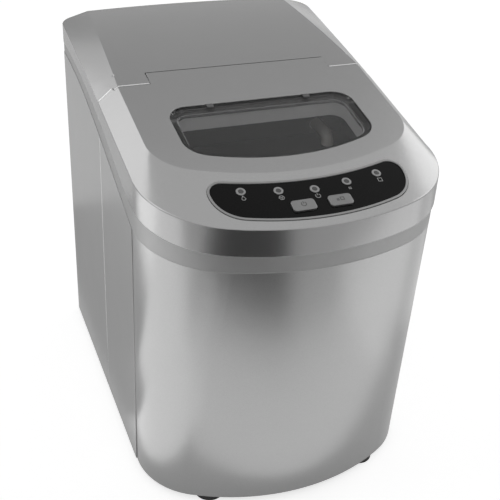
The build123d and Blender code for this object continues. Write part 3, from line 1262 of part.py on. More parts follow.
def make_fan_bracket():
    """Clamp ring round the fan motor on a foot that stands on the base."""
    low = motor_start + (MOTOR_LENGTH - CLAMP) / 2
    clamp = ring((low, CONDENSER_Y, fan_z), (low + CLAMP, CONDENSER_Y, fan_z), MOTOR_R + SKIN,
                 MOTOR_R + RUN_GAP)
    strut = block((low, low + CLAMP), (CONDENSER_Y - CLAMP, CONDENSER_Y + CLAMP),
                  (base_top + FACE_GAP, fan_z - MOTOR_R - 1))
    foot = block((low - CLAMP, low + 2 * CLAMP), (CONDENSER_Y - 2 * CLAMP, CONDENSER_Y + 2 * CLAMP),
                 (base_top + FACE_GAP, base_top + SKIN))
    return clamp + strut + foot


fan_z = CONDENSER_Z + CONDENSER_HEIGHT / 2
fan_x = CONDENSER_X - FACE_GAP - SHEET - FAN_DUCT + 0.5
motor_start = fan_x - SHAFT_FREE - MOTOR_LENGTH
crown_z = leg_z + COMPRESSOR_HEIGHT + FACE_GAP
manifold_y = TRAY_Y + FINGER_ROW + FINGER_R + FACE_GAP
save("compressor", make_compressor())
cushions = columns(GROMMET_SPOTS, GROMMET_R, base_top + FACE_GAP, base_top + FACE_GAP + GROMMET_HEIGHT)
save("compressor_grommets", cushions - columns(GROMMET_SPOTS, BOLT_R + RUN_GAP, 0, reach))
nut_z = leg_z + LEG + RUN_GAP
bolts = columns(GROMMET_SPOTS, BOLT_R, shell_z - NUT, nut_z + NUT)
bolts += columns(GROMMET_SPOTS, 2 * BOLT_R, shell_z - NUT, shell_z - RUN_GAP)
save("compressor_bolts", bolts + columns(GROMMET_SPOTS, 2 * BOLT_R, nut_z, nut_z + NUT))
side = COMPRESSOR_X - COMPRESSOR_R
cap = block((side - CAP_DEPTH, side + 6), (COMPRESSOR_Y - CAP_HALF, COMPRESSOR_Y + CAP_HALF), CAP_Z)
cap -= rod((COMPRESSOR_X, COMPRESSOR_Y, 0), (COMPRESSOR_X, COMPRESSOR_Y, reach), COMPRESSOR_R + FACE_GAP)
save("compressor_cap", cap)
save("condenser_fins", make_fins() + make_end_plates())
save("condenser_tube", pipe(tube_path(), CONDENSER_PITCH / 2 - 0.3, TUBE_R))
save("fan_shroud", make_shroud())
save("fan", make_fan())
motor = rod((motor_start, CONDENSER_Y, fan_z), (motor_start + MOTOR_LENGTH, CONDENSER_Y, fan_z), MOTOR_R)
bore = rod((fan_x - SHAFT_FREE - SHAFT_GRIP - 1, CONDENSER_Y, fan_z), (fan_x, CONDENSER_Y, fan_z),
           FAN_SHAFT_R + RUN_GAP)
save("fan_motor", motor - bore)
save("fan_bracket", make_fan_bracket())

x, y = DRIER_SPOT
save("filter_drier", rod((x, y, DRIER_Z[0]), (x, y, DRIER_Z[1]), DRIER_R))
tube_start = tube_path()[0]
tube_end = tube_path()[-1]
suction = [(SUCTION_X, manifold_y, pipe_z), (SUCTION_X, DROP_Y, pipe_z), (SUCTION_X, DROP_Y, SUCTION_Z),
           (COMPRESSOR_X + PIPE_SPREAD, COMPRESSOR_Y, SUCTION_Z),
           (COMPRESSOR_X + PIPE_SPREAD, COMPRESSOR_Y, crown_z)]
save("suction_pipe", pipe(suction, 9, SUCTION_R))
stub_x = COMPRESSOR_X - PIPE_SPREAD
discharge = [(stub_x, COMPRESSOR_Y, crown_z), (stub_x, COMPRESSOR_Y, DISCHARGE_Z),
             (stub_x, tube_start[1], DISCHARGE_Z), (tube_start[0], tube_start[1], DISCHARGE_Z),
             (tube_start[0], tube_start[1], tube_start[2] + FACE_GAP)]
save("discharge_pipe", pipe(discharge, 7, PIPE_R))
liquid = [(tube_end[0] - FACE_GAP, tube_end[1], tube_end[2]), (x + 40, tube_end[1], tube_end[2]),
          (x, y, tube_end[2]), (x, y, DRIER_Z[0] - FACE_GAP)]
liquid_pipe = pipe(liquid, 6, PIPE_R)
capillary = [(x, y, DRIER_Z[1] + FACE_GAP), (x, y, CAPILLARY_Z), (CAPILLARY_X, DROP_Y, CAPILLARY_Z),
             (CAPILLARY_X, DROP_Y, pipe_z), (CAPILLARY_X, manifold_y, pipe_z)]
save("liquid_line", Part() + [liquid_pipe, pipe(capillary, 8, CAPILLARY_R)])
low, high = VALVE_Z
save("hot_gas_valve", block((HOT_X - 12, HOT_X + 12), (DROP_Y - 12, DROP_Y + 12), (low + 8, high))
     + rod((HOT_X, DROP_Y, low), (HOT_X, DROP_Y, low + 9), 5))
stub_y = COMPRESSOR_Y - 1.5 * PIPE_SPREAD
hot_low = [(COMPRESSOR_X, stub_y, crown_z), (COMPRESSOR_X, stub_y, HOT_Z),
           (HOT_X, DROP_Y, HOT_Z), (HOT_X, DROP_Y, low - FACE_GAP)]
hot_high = [(HOT_X, DROP_Y, high + FACE_GAP), (HOT_X, DROP_Y, pipe_z), (HOT_X, manifold_y, pipe_z)]
save("hot_gas_pipes", Part() + [pipe(hot_low, 6, PIPE_R), pipe(hot_high, 6, PIPE_R)])


# ================================================================ electrics
low, high = BOX_Z
near, far = BOX_Y
outer = block(BOX_X, BOX_Y, BOX_Z)
wall = BOX_X[0] + SHEET
save("control_box", outer - block((wall, reach), (near + SHEET, far - SHEET), (low + SHEET, high - SHEET)))
back = wall + FACE_GAP
face = back + BOARD_STAND + BOARD
board = block((face - BOARD, face), (near + 2 * SHEET, far - 2 * SHEET), (low + 2 * SHEET, high - 2 * SHEET))
stands = [rod((back, y, z), (face - BOARD / 2, y, z), SHEET)
          for y in (near + STAND_INSET, far - STAND_INSET) for z in (low + STAND_INSET, high - STAND_INSET)]
save("main_board", Part() + [board] + stands)
front = (face + FACE_GAP, face + FACE_GAP + COMPONENT)
middle = (near + far) / 2
relays = [block(front, (y - 6, y + 6), (high - 34, high - 14)) for y in (middle - 18, middle, middle + 18)]
capacitors = [rod((front[0], y, low + 24), (front[1], y, low + 24), 4.5) for y in (middle - 28, middle - 14)]
transformer = [block(front, (middle + 4, middle + 30), (low + 12, low + 38))]
save("board_components", Part() + relays + capacitors + transformer)
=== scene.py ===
# %% [markdown]
# # A countertop ice maker, dressed
#
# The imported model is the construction: every piece sits where it belongs and every joint
# turns. This notebook gives each piece its surface and adds the small things that only the
# eye needs, such as printed marks. It starts by loading that frame, and never moves it.

# %% load the frame
import json
from math import cos, pi, radians, sin

import bmesh
import bpy
from mathutils import Matrix, Vector
from mathutils.bvhtree import BVHTree


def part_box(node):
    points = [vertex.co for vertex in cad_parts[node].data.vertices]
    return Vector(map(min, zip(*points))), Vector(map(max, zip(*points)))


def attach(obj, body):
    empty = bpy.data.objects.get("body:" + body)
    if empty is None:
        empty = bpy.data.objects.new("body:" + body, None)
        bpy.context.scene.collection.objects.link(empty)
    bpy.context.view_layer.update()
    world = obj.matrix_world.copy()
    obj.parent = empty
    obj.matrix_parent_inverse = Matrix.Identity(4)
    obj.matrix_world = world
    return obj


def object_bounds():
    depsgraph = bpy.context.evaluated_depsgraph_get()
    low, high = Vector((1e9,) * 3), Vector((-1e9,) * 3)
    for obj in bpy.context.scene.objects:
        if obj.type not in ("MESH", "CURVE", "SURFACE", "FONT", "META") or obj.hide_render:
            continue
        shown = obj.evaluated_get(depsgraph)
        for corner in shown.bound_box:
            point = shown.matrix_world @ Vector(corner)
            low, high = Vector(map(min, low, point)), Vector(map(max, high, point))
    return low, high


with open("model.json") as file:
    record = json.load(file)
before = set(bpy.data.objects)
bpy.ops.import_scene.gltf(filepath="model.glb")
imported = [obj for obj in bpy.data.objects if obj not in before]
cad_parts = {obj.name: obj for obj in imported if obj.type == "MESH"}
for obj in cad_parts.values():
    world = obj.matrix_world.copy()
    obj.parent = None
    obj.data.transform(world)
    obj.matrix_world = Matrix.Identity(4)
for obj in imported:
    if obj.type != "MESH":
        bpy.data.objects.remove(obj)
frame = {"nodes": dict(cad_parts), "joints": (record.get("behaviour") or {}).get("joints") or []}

cad_low, cad_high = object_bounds()
MM = 0.001
width, depth, height = (cad_high - cad_low) / MM
print(f"frame: {len(frame['nodes'])} nodes, {width:.1f} x {depth:.1f} x {height:.1f} mm")

# %% [markdown]
# ## The camera
#
# The machine is seen from above its front left corner with a fairly long lens, which keeps
# its uprights almost parallel. A constraint could aim the camera at an empty object, but this
# camera is also turned a few degrees about its own axis. So its three axes are worked out from
# two angles and a roll, and they become the columns of its matrix.

# %% camera
AZIMUTH, ELEVATION, ROLL = -22.477, 32.058, 3.2855
LENS, SENSOR = 68.03, 36.0
CLIP_NEAR, CLIP_FAR = 0.01, 60.0
PLACE = Vector((-0.26819, -0.67040, 0.60257))


def camera_axes(azimuth, elevation, roll):
    """Right, up and back of a camera that looks at the machine from these angles, in degrees."""
    a, e, r = radians(azimuth), radians(elevation), radians(roll)
    back = Vector((sin(a) * cos(e), -cos(a) * cos(e), sin(e)))
    right = Vector((0, 0, 1)).cross(back).normalized()
    up = back.cross(right)
    return right * cos(r) + up * sin(r), up * cos(r) - right * sin(r), back


camera_data = bpy.data.cameras.new("camera")
camera_data.lens, camera_data.sensor_width = LENS, SENSOR
camera_data.clip_start, camera_data.clip_end = CLIP_NEAR, CLIP_FAR
camera = bpy.data.objects.new("camera", camera_data)
bpy.context.scene.collection.objects.link(camera)
facing = Matrix(camera_axes(AZIMUTH, ELEVATION, ROLL)).transposed().to_4x4()
camera.matrix_world = Matrix.Translation(PLACE) @ facing
bpy.context.scene.camera = camera
bpy.context.scene.view_settings.view_transform = "Standard"
print("camera at", [round(c, 3) for c in camera.location])

# %% [markdown]
# ## Wiring shaders by name
#
# Every finish below is a few nodes. They could be wired by hand in the shader editor, but in
# code a recipe can be used again with other values. One helper feeds a socket, with a plain
# value or with another node's output, and a second places a node and feeds all its sockets,
# so that a recipe reads from top to bottom like a list.

# %% node helpers
def feed(tree, socket, value):
    """Links a socket to another node's output, or gives it a plain value."""
    if isinstance(value, bpy.types.NodeSocket):
        tree.links.new(value, socket)
    elif value is not None:
        socket.default_value = value


def place(tree, kind, settings=None, values=(), **inputs):
    """Adds a node. values fill the inputs in order; a keyword names one, with _ for a space."""
    node = tree.nodes.new(kind)
    for name, value in (settings or {}).items():
        setattr(node, name, value)
    named = [(node.inputs[name.replace("_", " ")], value) for name, value in inputs.items()]
    for socket, value in [*zip(node.inputs, values), *named]:
        feed(tree, socket, value)
    return node


def math(tree, operation, *values):
    """Output of a Math node."""
    return place(tree, "ShaderNodeMath", {"operation": operation}, values).outputs[0]


MIX_FIRST, MIX_SECOND, MIX_RESULT = 6, 7, 2    # a Mix node's colour sockets, whose names others share


def blend(tree, factor, first, second):
    """Colour between two colours."""
    node = place(tree, "ShaderNodeMix", {"data_type": "RGBA"}, Factor=factor)
    feed(tree, node.inputs[MIX_FIRST], first)
    feed(tree, node.inputs[MIX_SECOND], second)
    return node.outputs[MIX_RESULT]


def between(tree, value, low=0.0, high=1.0, start=0.0, end=1.0):
    """Runs from low to high while the value runs from start to end, and is held there outside."""
    return place(tree, "ShaderNodeMapRange", None, (value, start, end, low, high)).outputs[0]


def grey(level, tint=(1.0, 1.0, 1.0)):
    """An opaque colour of one brightness, with an optional tint."""
    return (*(level * t for t in tint), 1.0)


def shaded(colour, factor, lift=0.0):
    """A colour made darker or lighter, as far as white."""
    return (*(min(1.0, c * factor + lift) for c in colour[:3]), 1.0)


def start_group(name, inputs, outputs):
    """A shader node group with named sockets; returns its tree, what comes in and what goes out."""
    tree = bpy.data.node_groups.new(name, "ShaderNodeTree")
    for label, kind, value in inputs:
        socket = tree.interface.new_socket(name=label, in_out="INPUT", socket_type=kind)
        if value is not None:
            socket.default_value = value
    for label, kind in outputs:
        tree.interface.new_socket(name=label, in_out="OUTPUT", socket_type=kind)
    return tree, tree.nodes.new("NodeGroupInput").outputs, tree.nodes.new("NodeGroupOutput").inputs


FLOAT, VECTOR = "NodeSocketFloat", "NodeSocketVector"
PER_METRE = 1 / MM
print("helpers ready; patterns are scaled by", PER_METRE, "over their size in mm")

# %% [markdown]
# ## Effects that many finishes share
#
# A moulded or painted surface is never even. Four effects carry most of that here, each a
# node group: a grain for moulded plastic and powder coat, the metal flake of silver lacquer,
# edges that are slightly rounded and rubbed, and dust with finger marks. The nodes could be
# repeated in each material, but a group is built once and mended once. Each group puts out
# only masks, heights or normals, and the material decides what they change.

# %% grain: the fine texture of a mould or a powder coat
grain, at, out = start_group(
    "surface grain",
    [("Size", FLOAT, 0.6), ("Pitting", FLOAT, 0.3)],
    [("Height", FLOAT), ("Shade", FLOAT)])
spot = place(grain, "ShaderNodeTexCoord").outputs["Object"]
density = math(grain, "DIVIDE", PER_METRE, at["Size"])
bumps = place(grain, "ShaderNodeTexNoise", None, Vector=spot, Scale=density, Detail=3.0, Roughness=0.6)
pits = place(grain, "ShaderNodeTexVoronoi", None, Vector=spot, Scale=density)
pit = between(grain, pits.outputs["Distance"], 1.0, 0.0, start=0.05, end=0.5)
sunk = math(grain, "MULTIPLY", pit, at["Pitting"])
grain.links.new(math(grain, "SUBTRACT", bumps.outputs["Fac"], sunk), out["Height"])
cloud = place(grain, "ShaderNodeTexNoise", None, Vector=spot, Scale=38.0, Detail=4.0, Roughness=0.55)
CLOUD_SHARE = 0.6
mixed = math(grain, "ADD", math(grain, "MULTIPLY", cloud.outputs["Fac"], CLOUD_SHARE),
             math(grain, "MULTIPLY", bumps.outputs["Fac"], 1 - CLOUD_SHARE))
grain.links.new(mixed, out["Shade"])
print("grain group:", len(grain.nodes), "nodes")

# %% flake: aluminium flecks lying at small angles in the lacquer
flake, at, out = start_group(
    "metal flake",
    [("Size", FLOAT, 0.35), ("Tilt", FLOAT, 0.08), ("Normal", VECTOR, None)],
    [("Glint", FLOAT), ("Normal", VECTOR)])
spot = place(flake, "ShaderNodeTexCoord").outputs["Object"]
flecks = place(flake, "ShaderNodeTexVoronoi", None, Vector=spot,
               Scale=math(flake, "DIVIDE", PER_METRE, at["Size"]))
chance = flecks.outputs["Color"]
centred = place(flake, "ShaderNodeVectorMath", {"operation": "SUBTRACT"}, (chance, (0.5, 0.5, 0.5)))
lean = place(flake, "ShaderNodeVectorMath", {"operation": "SCALE"}, (centred.outputs[0],), Scale=at["Tilt"])
turned = place(flake, "ShaderNodeVectorMath", {"operation": "ADD"}, (at["Normal"], lean.outputs[0]))
unit = place(flake, "ShaderNodeVectorMath", {"operation": "NORMALIZE"}, (turned.outputs[0],))
flake.links.new(unit.outputs[0], out["Normal"])
parts = place(flake, "ShaderNodeSeparateColor", None, Color=chance)
flake.links.new(parts.outputs[0], out["Glint"])
print("flake group:", len(flake.nodes), "nodes")

# %% soft edges: a small radius on every edge, and a mask where hands rub it
edges, at, out = start_group(
    "soft edges",
    [("Radius", FLOAT, 0.0005)],
    [("Normal", VECTOR), ("Worn", FLOAT)])
rounded = place(edges, "ShaderNodeBevel", {"samples": 4}, Radius=at["Radius"])
flat = place(edges, "ShaderNodeNewGeometry").outputs["Normal"]
likeness = place(edges, "ShaderNodeVectorMath", {"operation": "DOT_PRODUCT"}, (rounded.outputs[0], flat))
spot = place(edges, "ShaderNodeTexCoord").outputs["Object"]
patchy = place(edges, "ShaderNodeTexNoise", None, Vector=spot, Scale=160.0, Detail=3.0)
rubbed = between(edges, likeness.outputs["Value"], 1.0, 0.0, start=0.80, end=0.99)
edges.links.new(math(edges, "MULTIPLY", rubbed, patchy.outputs["Fac"]), out["Worn"])
edges.links.new(rounded.outputs[0], out["Normal"])
print("edge group:", len(edges.nodes), "nodes")

# %% handling: dust that settles on what faces up, and faint finger marks
handling, at, out = start_group(
    "dust and smudges",
    [("Dust", FLOAT, 0.1), ("Smudge", FLOAT, 0.1)],
    [("Dust", FLOAT), ("Smudge", FLOAT)])
where = place(handling, "ShaderNodeTexCoord")
upward = place(handling, "ShaderNodeSeparateXYZ", None, (where.outputs["Normal"],)).outputs["Z"]
specks = place(handling, "ShaderNodeTexNoise", None, Vector=where.outputs["Object"], Scale=900.0, Detail=2.0)
drift = place(handling, "ShaderNodeTexNoise", None, Vector=where.outputs["Object"], Scale=14.0, Detail=3.0)
settled = math(handling, "MULTIPLY", between(handling, specks.outputs["Fac"], start=0.52, end=0.72),
               between(handling, drift.outputs["Fac"], 0.3, 1.0, start=0.35, end=0.65))
lying = math(handling, "MULTIPLY", settled, between(handling, upward, 0.15, 1.0, start=0.2, end=0.9))
handling.links.new(math(handling, "MULTIPLY", lying, at["Dust"]), out["Dust"])
marks = place(handling, "ShaderNodeTexNoise", None, Vector=where.outputs["Object"], Scale=26.0,
              Detail=5.0, Roughness=0.65, Distortion=0.8)
smears = between(handling, marks.outputs["Fac"], start=0.42, end=0.68)
handling.links.new(math(handling, "MULTIPLY", smears, at["Smudge"]), out["Smudge"])
print("handling group:", len(handling.nodes), "nodes")


# %% helpers for materials
def effect(tree, group, **inputs):
    """Places a shared effect in a material and returns its outputs."""
    return place(tree, "ShaderNodeGroup", {"node_tree": group}, **inputs).outputs


def start_material(name, **plain):
    """A material with its Principled shader; plain values are set on the shader's own sockets."""
    material = bpy.data.materials.new(name)
    material.use_nodes = True
    shader = material.node_tree.nodes["Principled BSDF"]
    for label, value in plain.items():
        shader.inputs[label.replace("_", " ")].default_value = value
    return material, material.node_tree, shader.inputs


def bump(tree, heights, depth, normal=None):
    """Normal of a surface with these heights, where depth is the metres between 0 and 1."""
    return place(tree, "ShaderNodeBump", None, Strength=1.0, Distance=depth, Height=heights,
                 Normal=normal).outputs[0]


# %% [markdown]
# ## Silver lacquer
#
# The lid, the rear cover and the panels are silver: fine aluminium flake in a clear, satin
# lacquer. Plain metal would look like a mirror and plain grey like chalk, so the shader is
# mostly metal with a broad gloss and a thin clear coat. The flecks lean a little, which breaks
# the reflection up and gives the slight sparkle. The lacquer over moulded plastic is finer
# than the coat on the panels, which shows a soft orange peel.

# %% silver lacquer and silver powder coat
CLEAR_COAT = {"Coat_Weight": 0.22, "Coat_Roughness": 0.22}
PAINTED_EDGE = 0.6 * MM
PEEL_DEPTH = 0.006 * MM
FLECK_LEAN = 0.014
FLECK_CONTRAST = 0.05
MOTTLE_AMOUNT, MOTTLE_SHADE = 0.16, 0.72
RUB_AMOUNT, RUB_SHADE = 0.35, 1.35
SILVER_DUST, SILVER_SMUDGE = 0.008, 0.015
PALE_DUST = grey(0.52)


def silver(name, level, roughness, metal, peel, fleck):
    """Silver paint: level is its brightness, peel and fleck the mm across its waves and flecks."""
    material, tree, shader = start_material(name, Metallic=metal, **CLEAR_COAT)
    soft = effect(tree, edges, Radius=PAINTED_EDGE)
    texture = effect(tree, grain, Size=peel, Pitting=0.0)
    marks = effect(tree, handling, Dust=SILVER_DUST, Smudge=SILVER_SMUDGE)
    waved = bump(tree, texture["Height"], PEEL_DEPTH, soft["Normal"])
    sparkle = effect(tree, flake, Size=fleck, Tilt=FLECK_LEAN, Normal=waved)
    dull, bright = grey(level * (1 - FLECK_CONTRAST)), grey(level * (1 + FLECK_CONTRAST))
    even = blend(tree, sparkle["Glint"], dull, bright)
    mottle = math(tree, "MULTIPLY", texture["Shade"], MOTTLE_AMOUNT)
    cloudy = blend(tree, mottle, even, grey(level * MOTTLE_SHADE))
    worn = math(tree, "MULTIPLY", soft["Worn"], RUB_AMOUNT)
    rubbed = blend(tree, worn, cloudy, grey(level * RUB_SHADE))
    tree.links.new(blend(tree, marks["Dust"], rubbed, PALE_DUST), shader["Base Color"])
    tree.links.new(math(tree, "ADD", roughness, marks["Smudge"]), shader["Roughness"])
    tree.links.new(sparkle["Normal"], shader["Normal"])
    return material


finishes = {
    "case_silver": silver("silver lacquer", level=0.34, roughness=0.25, metal=0.92, peel=0.9, fleck=0.30),
    "panel_silver": silver("silver coat on sheet", level=0.36, roughness=0.30, metal=0.90, peel=1.2,
                           fleck=0.32),
}
print("silver finishes:", sorted(finishes))

# %% [markdown]
# ## Moulded plastics and rubber
#
# The other plastics differ in colour, gloss and the grain of their mould. A material each
# would say the same thing many times, so one recipe makes them all. Rubber is the same recipe
# with hardly any gloss and more dust, because dust sticks to it. Satin trim, the silver keys
# and the grey rim are plated or metal-filled plastic: the same again, partly or wholly metal.
# The bright bead is the same again, wholly metal and near white: a painted highlight for the
# line of light that the edges of the seams catch. The tub is near black, which paints the shade
# inside the machine into its colour. The inks of the signs and the baked paint of the
# compressor need no more than this recipe either.

# %% moulded finishes
DARKER_SPOTS, LIGHTER_SPOTS = 0.80, 1.12
RUB_LIFT = 0.01
HOUSE_DUST = grey(0.45)


def moulded(name, colour, roughness, size=0.7, depth=0.03, pitting=0.3, dust=0.12, smudge=0.12,
            metal=0.0, edge=0.5, worn=1.25, **plain):
    """Plastic or rubber. Its grain's size and depth and its edges' radius are in mm."""
    material, tree, shader = start_material(name, Metallic=metal, **plain)
    soft = effect(tree, edges, Radius=edge * MM)
    texture = effect(tree, grain, Size=size, Pitting=pitting)
    marks = effect(tree, handling, Dust=dust, Smudge=smudge)
    cloudy = blend(tree, texture["Shade"], shaded(colour, DARKER_SPOTS), shaded(colour, LIGHTER_SPOTS))
    rubbed = blend(tree, soft["Worn"], cloudy, shaded(colour, worn, RUB_LIFT))
    tree.links.new(blend(tree, marks["Dust"], rubbed, HOUSE_DUST), shader["Base Color"])
    tree.links.new(math(tree, "ADD", roughness, marks["Smudge"]), shader["Roughness"])
    tree.links.new(bump(tree, texture["Height"], depth * MM, soft["Normal"]), shader["Normal"])
    return material


finishes |= {
    "rim_grey": moulded("rim grey plastic", grey(0.37), 0.42, size=0.5, depth=0.01, metal=0.55,
                        dust=0.04, smudge=0.04),
    "bright_trim": moulded("satin plated trim", grey(0.27), 0.30, size=0.9, depth=0.01, metal=0.8,
                           smudge=0.06, edge=0.3),
    "key_silver": moulded("silver keys", grey(0.24), 0.34, size=0.4, depth=0.012, metal=0.6, edge=0.6),
    "fascia_black": moulded("gloss black key panel", grey(0.003), 0.10, size=1.4, depth=0.006,
                            pitting=0.0, dust=0.01, smudge=0.10, edge=0.3, Specular_IOR_Level=0.08),
    # painted highlight: a near-white, wholly metal bead that stands in for the light caught by the edges of
    # seams and joints
    "seam_bead": moulded("bright seam bead", grey(0.86), 0.25, size=0.9, depth=0.003, metal=1.0,
                         smudge=0.03, dust=0.02, edge=0.2),
    "clip_grey": moulded("grey window clips", grey(0.12), 0.45, size=0.4, depth=0.01),
    "light_ink": moulded("light ink", grey(0.42), 0.50, size=0.3, depth=0.005, edge=0.05),
    "dark_ink": moulded("dark ink", grey(0.035), 0.45, size=0.3, depth=0.005, edge=0.05),
    "gasket": moulded("dark window gasket", grey(0.020), 0.55, size=0.5, smudge=0.05),
    "liner_grey": moulded("grey lid liner", grey(0.55), 0.42, size=0.8),
    # near black: the shade inside the machine is painted into the grey tub's colour
    "tub_grey": moulded("near-black tub with painted shade", grey(0.012), 0.38, size=0.8),
    "black_plastic": moulded("black moulded plastic", grey(0.022), 0.48, size=0.6, depth=0.04, dust=0.25),
    "rubber_black": moulded("black rubber", grey(0.018), 0.72, size=0.5, depth=0.04, dust=0.35,
                            smudge=0.06),
    "tray_plastic": moulded("ivory acetal", grey(0.62, (1.0, 0.99, 0.95)), 0.34, size=0.9, depth=0.01,
                            Subsurface_Weight=0.1),
    "compressor_black": moulded("baked black paint", grey(0.016), 0.30, size=2.4, depth=0.06,
                                pitting=0.0, dust=0.45, worn=1.6),
}
print("finishes so far:", len(finishes))

# %% [markdown]
# ## Clear plastics
#
# The window is clear acrylic with a slight grey cast, and the indicator lenses, the hose and
# the ice basket let light through too. Clear plastic keeps plain Metallic and Transmission;
# what makes it look real is a trace of haze, moulding waves and fine scratches, which only
# change the roughness and the normal. Acrylic's own index of 1.49 would lay the bright room
# over the dark inside. The pane acts like one with a coat against glare, so it gets a lower
# index and little shine.

# %% clear finishes
SCRATCHES = (240.0, 2600.0, 240.0)     # how often the pattern repeats along x, y and z: long thin hairs
SCRATCH_TURN = (0.0, 0.0, 0.5)


def clear(name, colour, roughness, index, waves, depth, haze, passing=1.0, shine=0.5):
    """Clear plastic: waves and depth are its unevenness in mm, haze the spread of its roughness."""
    material, tree, shader = start_material(name, Base_Color=colour, IOR=index,
                                            Transmission_Weight=passing, Specular_IOR_Level=shine)
    spot = place(tree, "ShaderNodeTexCoord").outputs["Object"]
    slow = place(tree, "ShaderNodeTexNoise", None, Vector=spot, Scale=PER_METRE / waves, Detail=2.0)
    stretched = place(tree, "ShaderNodeMapping", None, Vector=spot, Scale=SCRATCHES, Rotation=SCRATCH_TURN)
    hairs = place(tree, "ShaderNodeTexNoise", None, Vector=stretched.outputs[0], Scale=1.0, Detail=2.0)
    scratch = between(tree, hairs.outputs["Fac"], 0.0, haze, start=0.68, end=0.8)
    marks = effect(tree, handling, Dust=0.0, Smudge=haze)
    dulled = math(tree, "ADD", math(tree, "ADD", roughness, scratch), marks["Smudge"])
    tree.links.new(dulled, shader["Roughness"])
    tree.links.new(bump(tree, slow.outputs["Fac"], depth * MM), shader["Normal"])
    return material


clear_finishes = {
    "window_clear": clear("clear window", grey(0.80), 0.015, index=1.27, waves=30.0, depth=0.04,
                          haze=0.05, shine=0.07),
    "lens": clear("indicator lens", grey(0.10), 0.18, index=1.49, waves=3.0, depth=0.02, haze=0.08,
                  passing=0.35),
    "hose_clear": clear("milky hose", grey(0.80, (1.0, 0.98, 0.92)), 0.30, index=1.41, waves=4.0,
                        depth=0.03, haze=0.10, passing=0.6),
    "basket_plastic": clear("ice basket plastic", grey(0.03), 0.14, index=1.49, waves=8.0, depth=0.04,
                            haze=0.12, passing=0.35),
}
finishes |= clear_finishes
print("clear finishes:", sorted(clear_finishes))

# %% [markdown]
# ## Metals of the cooling set
#
# Copper tube darkens unevenly where it was heated for brazing. Zinc on the sheet parts has a
# spangle, nickel on the freezing fingers is almost white, and the condenser's aluminium fins
# are dull with dust. A smooth metal shader alone would make them all look like chrome. So one
# recipe takes the clean colour, the tarnished colour and the size of the patches between them.

# %% metal finishes
METAL_EDGE = 0.3 * MM
METAL_GRAIN, METAL_GRAIN_DEPTH = 0.4, 0.01 * MM
TARNISH_DULLS = 0.18
METAL_DUST = grey(0.4)


def bare_metal(name, clean, tarnished, roughness, patch, spread=(0.45, 0.62), cells=False, dust=0.1):
    """Bare or plated metal: patch is the size of its blotches in mm, as clouds or as crystal cells."""
    material, tree, shader = start_material(name, Metallic=1.0)
    spot = place(tree, "ShaderNodeTexCoord").outputs["Object"]
    often = PER_METRE / patch
    if cells:
        pattern = place(tree, "ShaderNodeTexVoronoi", None, Vector=spot, Scale=often)
        amount = place(tree, "ShaderNodeSeparateColor", None, Color=pattern.outputs["Color"]).outputs[0]
    else:
        pattern = place(tree, "ShaderNodeTexNoise", None, Vector=spot, Scale=often, Detail=6.0, Roughness=0.6)
        amount = pattern.outputs["Fac"]
    blotch = between(tree, amount, start=spread[0], end=spread[1])
    soft = effect(tree, edges, Radius=METAL_EDGE)
    texture = effect(tree, grain, Size=METAL_GRAIN, Pitting=0.2)
    marks = effect(tree, handling, Dust=dust, Smudge=0.08)
    colour = blend(tree, marks["Dust"], blend(tree, blotch, clean, tarnished), METAL_DUST)
    tree.links.new(colour, shader["Base Color"])
    uneven = math(tree, "ADD", roughness, math(tree, "MULTIPLY", blotch, TARNISH_DULLS))
    tree.links.new(uneven, shader["Roughness"])
    tree.links.new(bump(tree, texture["Height"], METAL_GRAIN_DEPTH, soft["Normal"]), shader["Normal"])
    return material


metal_finishes = {
    "steel": bare_metal("zinc plated steel", grey(0.56, (0.98, 1.0, 1.02)), grey(0.38), 0.30, patch=6.0,
                        spread=(0.0, 1.0), cells=True),
    "copper": bare_metal("copper tube", (0.80, 0.40, 0.25, 1), (0.30, 0.13, 0.08, 1), 0.24, patch=14.0),
    "plated_copper": bare_metal("nickel plated copper", grey(0.66, (1.0, 0.98, 0.94)),
                                (0.55, 0.40, 0.32, 1), 0.18, patch=9.0, spread=(0.52, 0.75)),
    "fins": bare_metal("aluminium fins", grey(0.66), grey(0.48), 0.34, patch=5.0, dust=0.3),
}
finishes |= metal_finishes
print("metal finishes:", sorted(metal_finishes))

# %% [markdown]
# ## Foam and circuit boards
#
# The foam round the tub is a cream polyurethane with open cells, and the cells darken towards
# their middles: painted shade in the pores. A circuit board is green solder mask over copper
# tracks, which show as a faint raised pattern, and the parts on it are small mouldings of
# different colours. They could be modelled one by one, but they are seen through louvres only,
# so all three are patterns in the solid.

# %% foam
CREAM, YELLOWED = (0.72, 0.66, 0.48, 1), (0.60, 0.50, 0.30, 1)
# painted shade: the dark colour that the middles of the open cells take
PORE_SHADE = grey(0.25, (1.0, 0.9, 0.7))
CELLS_PER_METRE = 520.0
CELL_DEPTH = 0.6 * MM


def foam():
    """Cream foam with cells of about two millimetres, darker towards their middles: painted shade in the
    pores.
    """
    material, tree, shader = start_material("insulating foam", Roughness=0.9)
    spot = place(tree, "ShaderNodeTexCoord").outputs["Object"]
    cells = place(tree, "ShaderNodeTexVoronoi", None, Vector=spot, Scale=CELLS_PER_METRE)
    age = place(tree, "ShaderNodeTexNoise", None, Vector=spot, Scale=18.0, Detail=4.0)
    cream = blend(tree, age.outputs["Fac"], CREAM, YELLOWED)
    # the cells darken towards their middles, as painted shade in the pores
    between_pores = between(tree, cells.outputs["Distance"], 0.5, 1.0, end=0.5)
    tree.links.new(blend(tree, between_pores, PORE_SHADE, cream), shader["Base Color"])
    tree.links.new(bump(tree, cells.outputs["Distance"], CELL_DEPTH), shader["Normal"])
    return material


finishes["foam"] = foam()
print("foam:", CELLS_PER_METRE, "cells in a metre")

# %% board and components
MASK_GREENS = {"Color1": (0.01, 0.10, 0.04, 1), "Color2": (0.015, 0.13, 0.05, 1),
               "Mortar": (0.05, 0.26, 0.09, 1)}
TRACKS_PER_METRE = 90.0
TRACK_HEIGHT = 0.06 * MM
CAPACITOR_BLUE, RELAY_BLACK = (0.02, 0.08, 0.30, 1), grey(0.03)
MOULD_DEPTH = 0.02 * MM


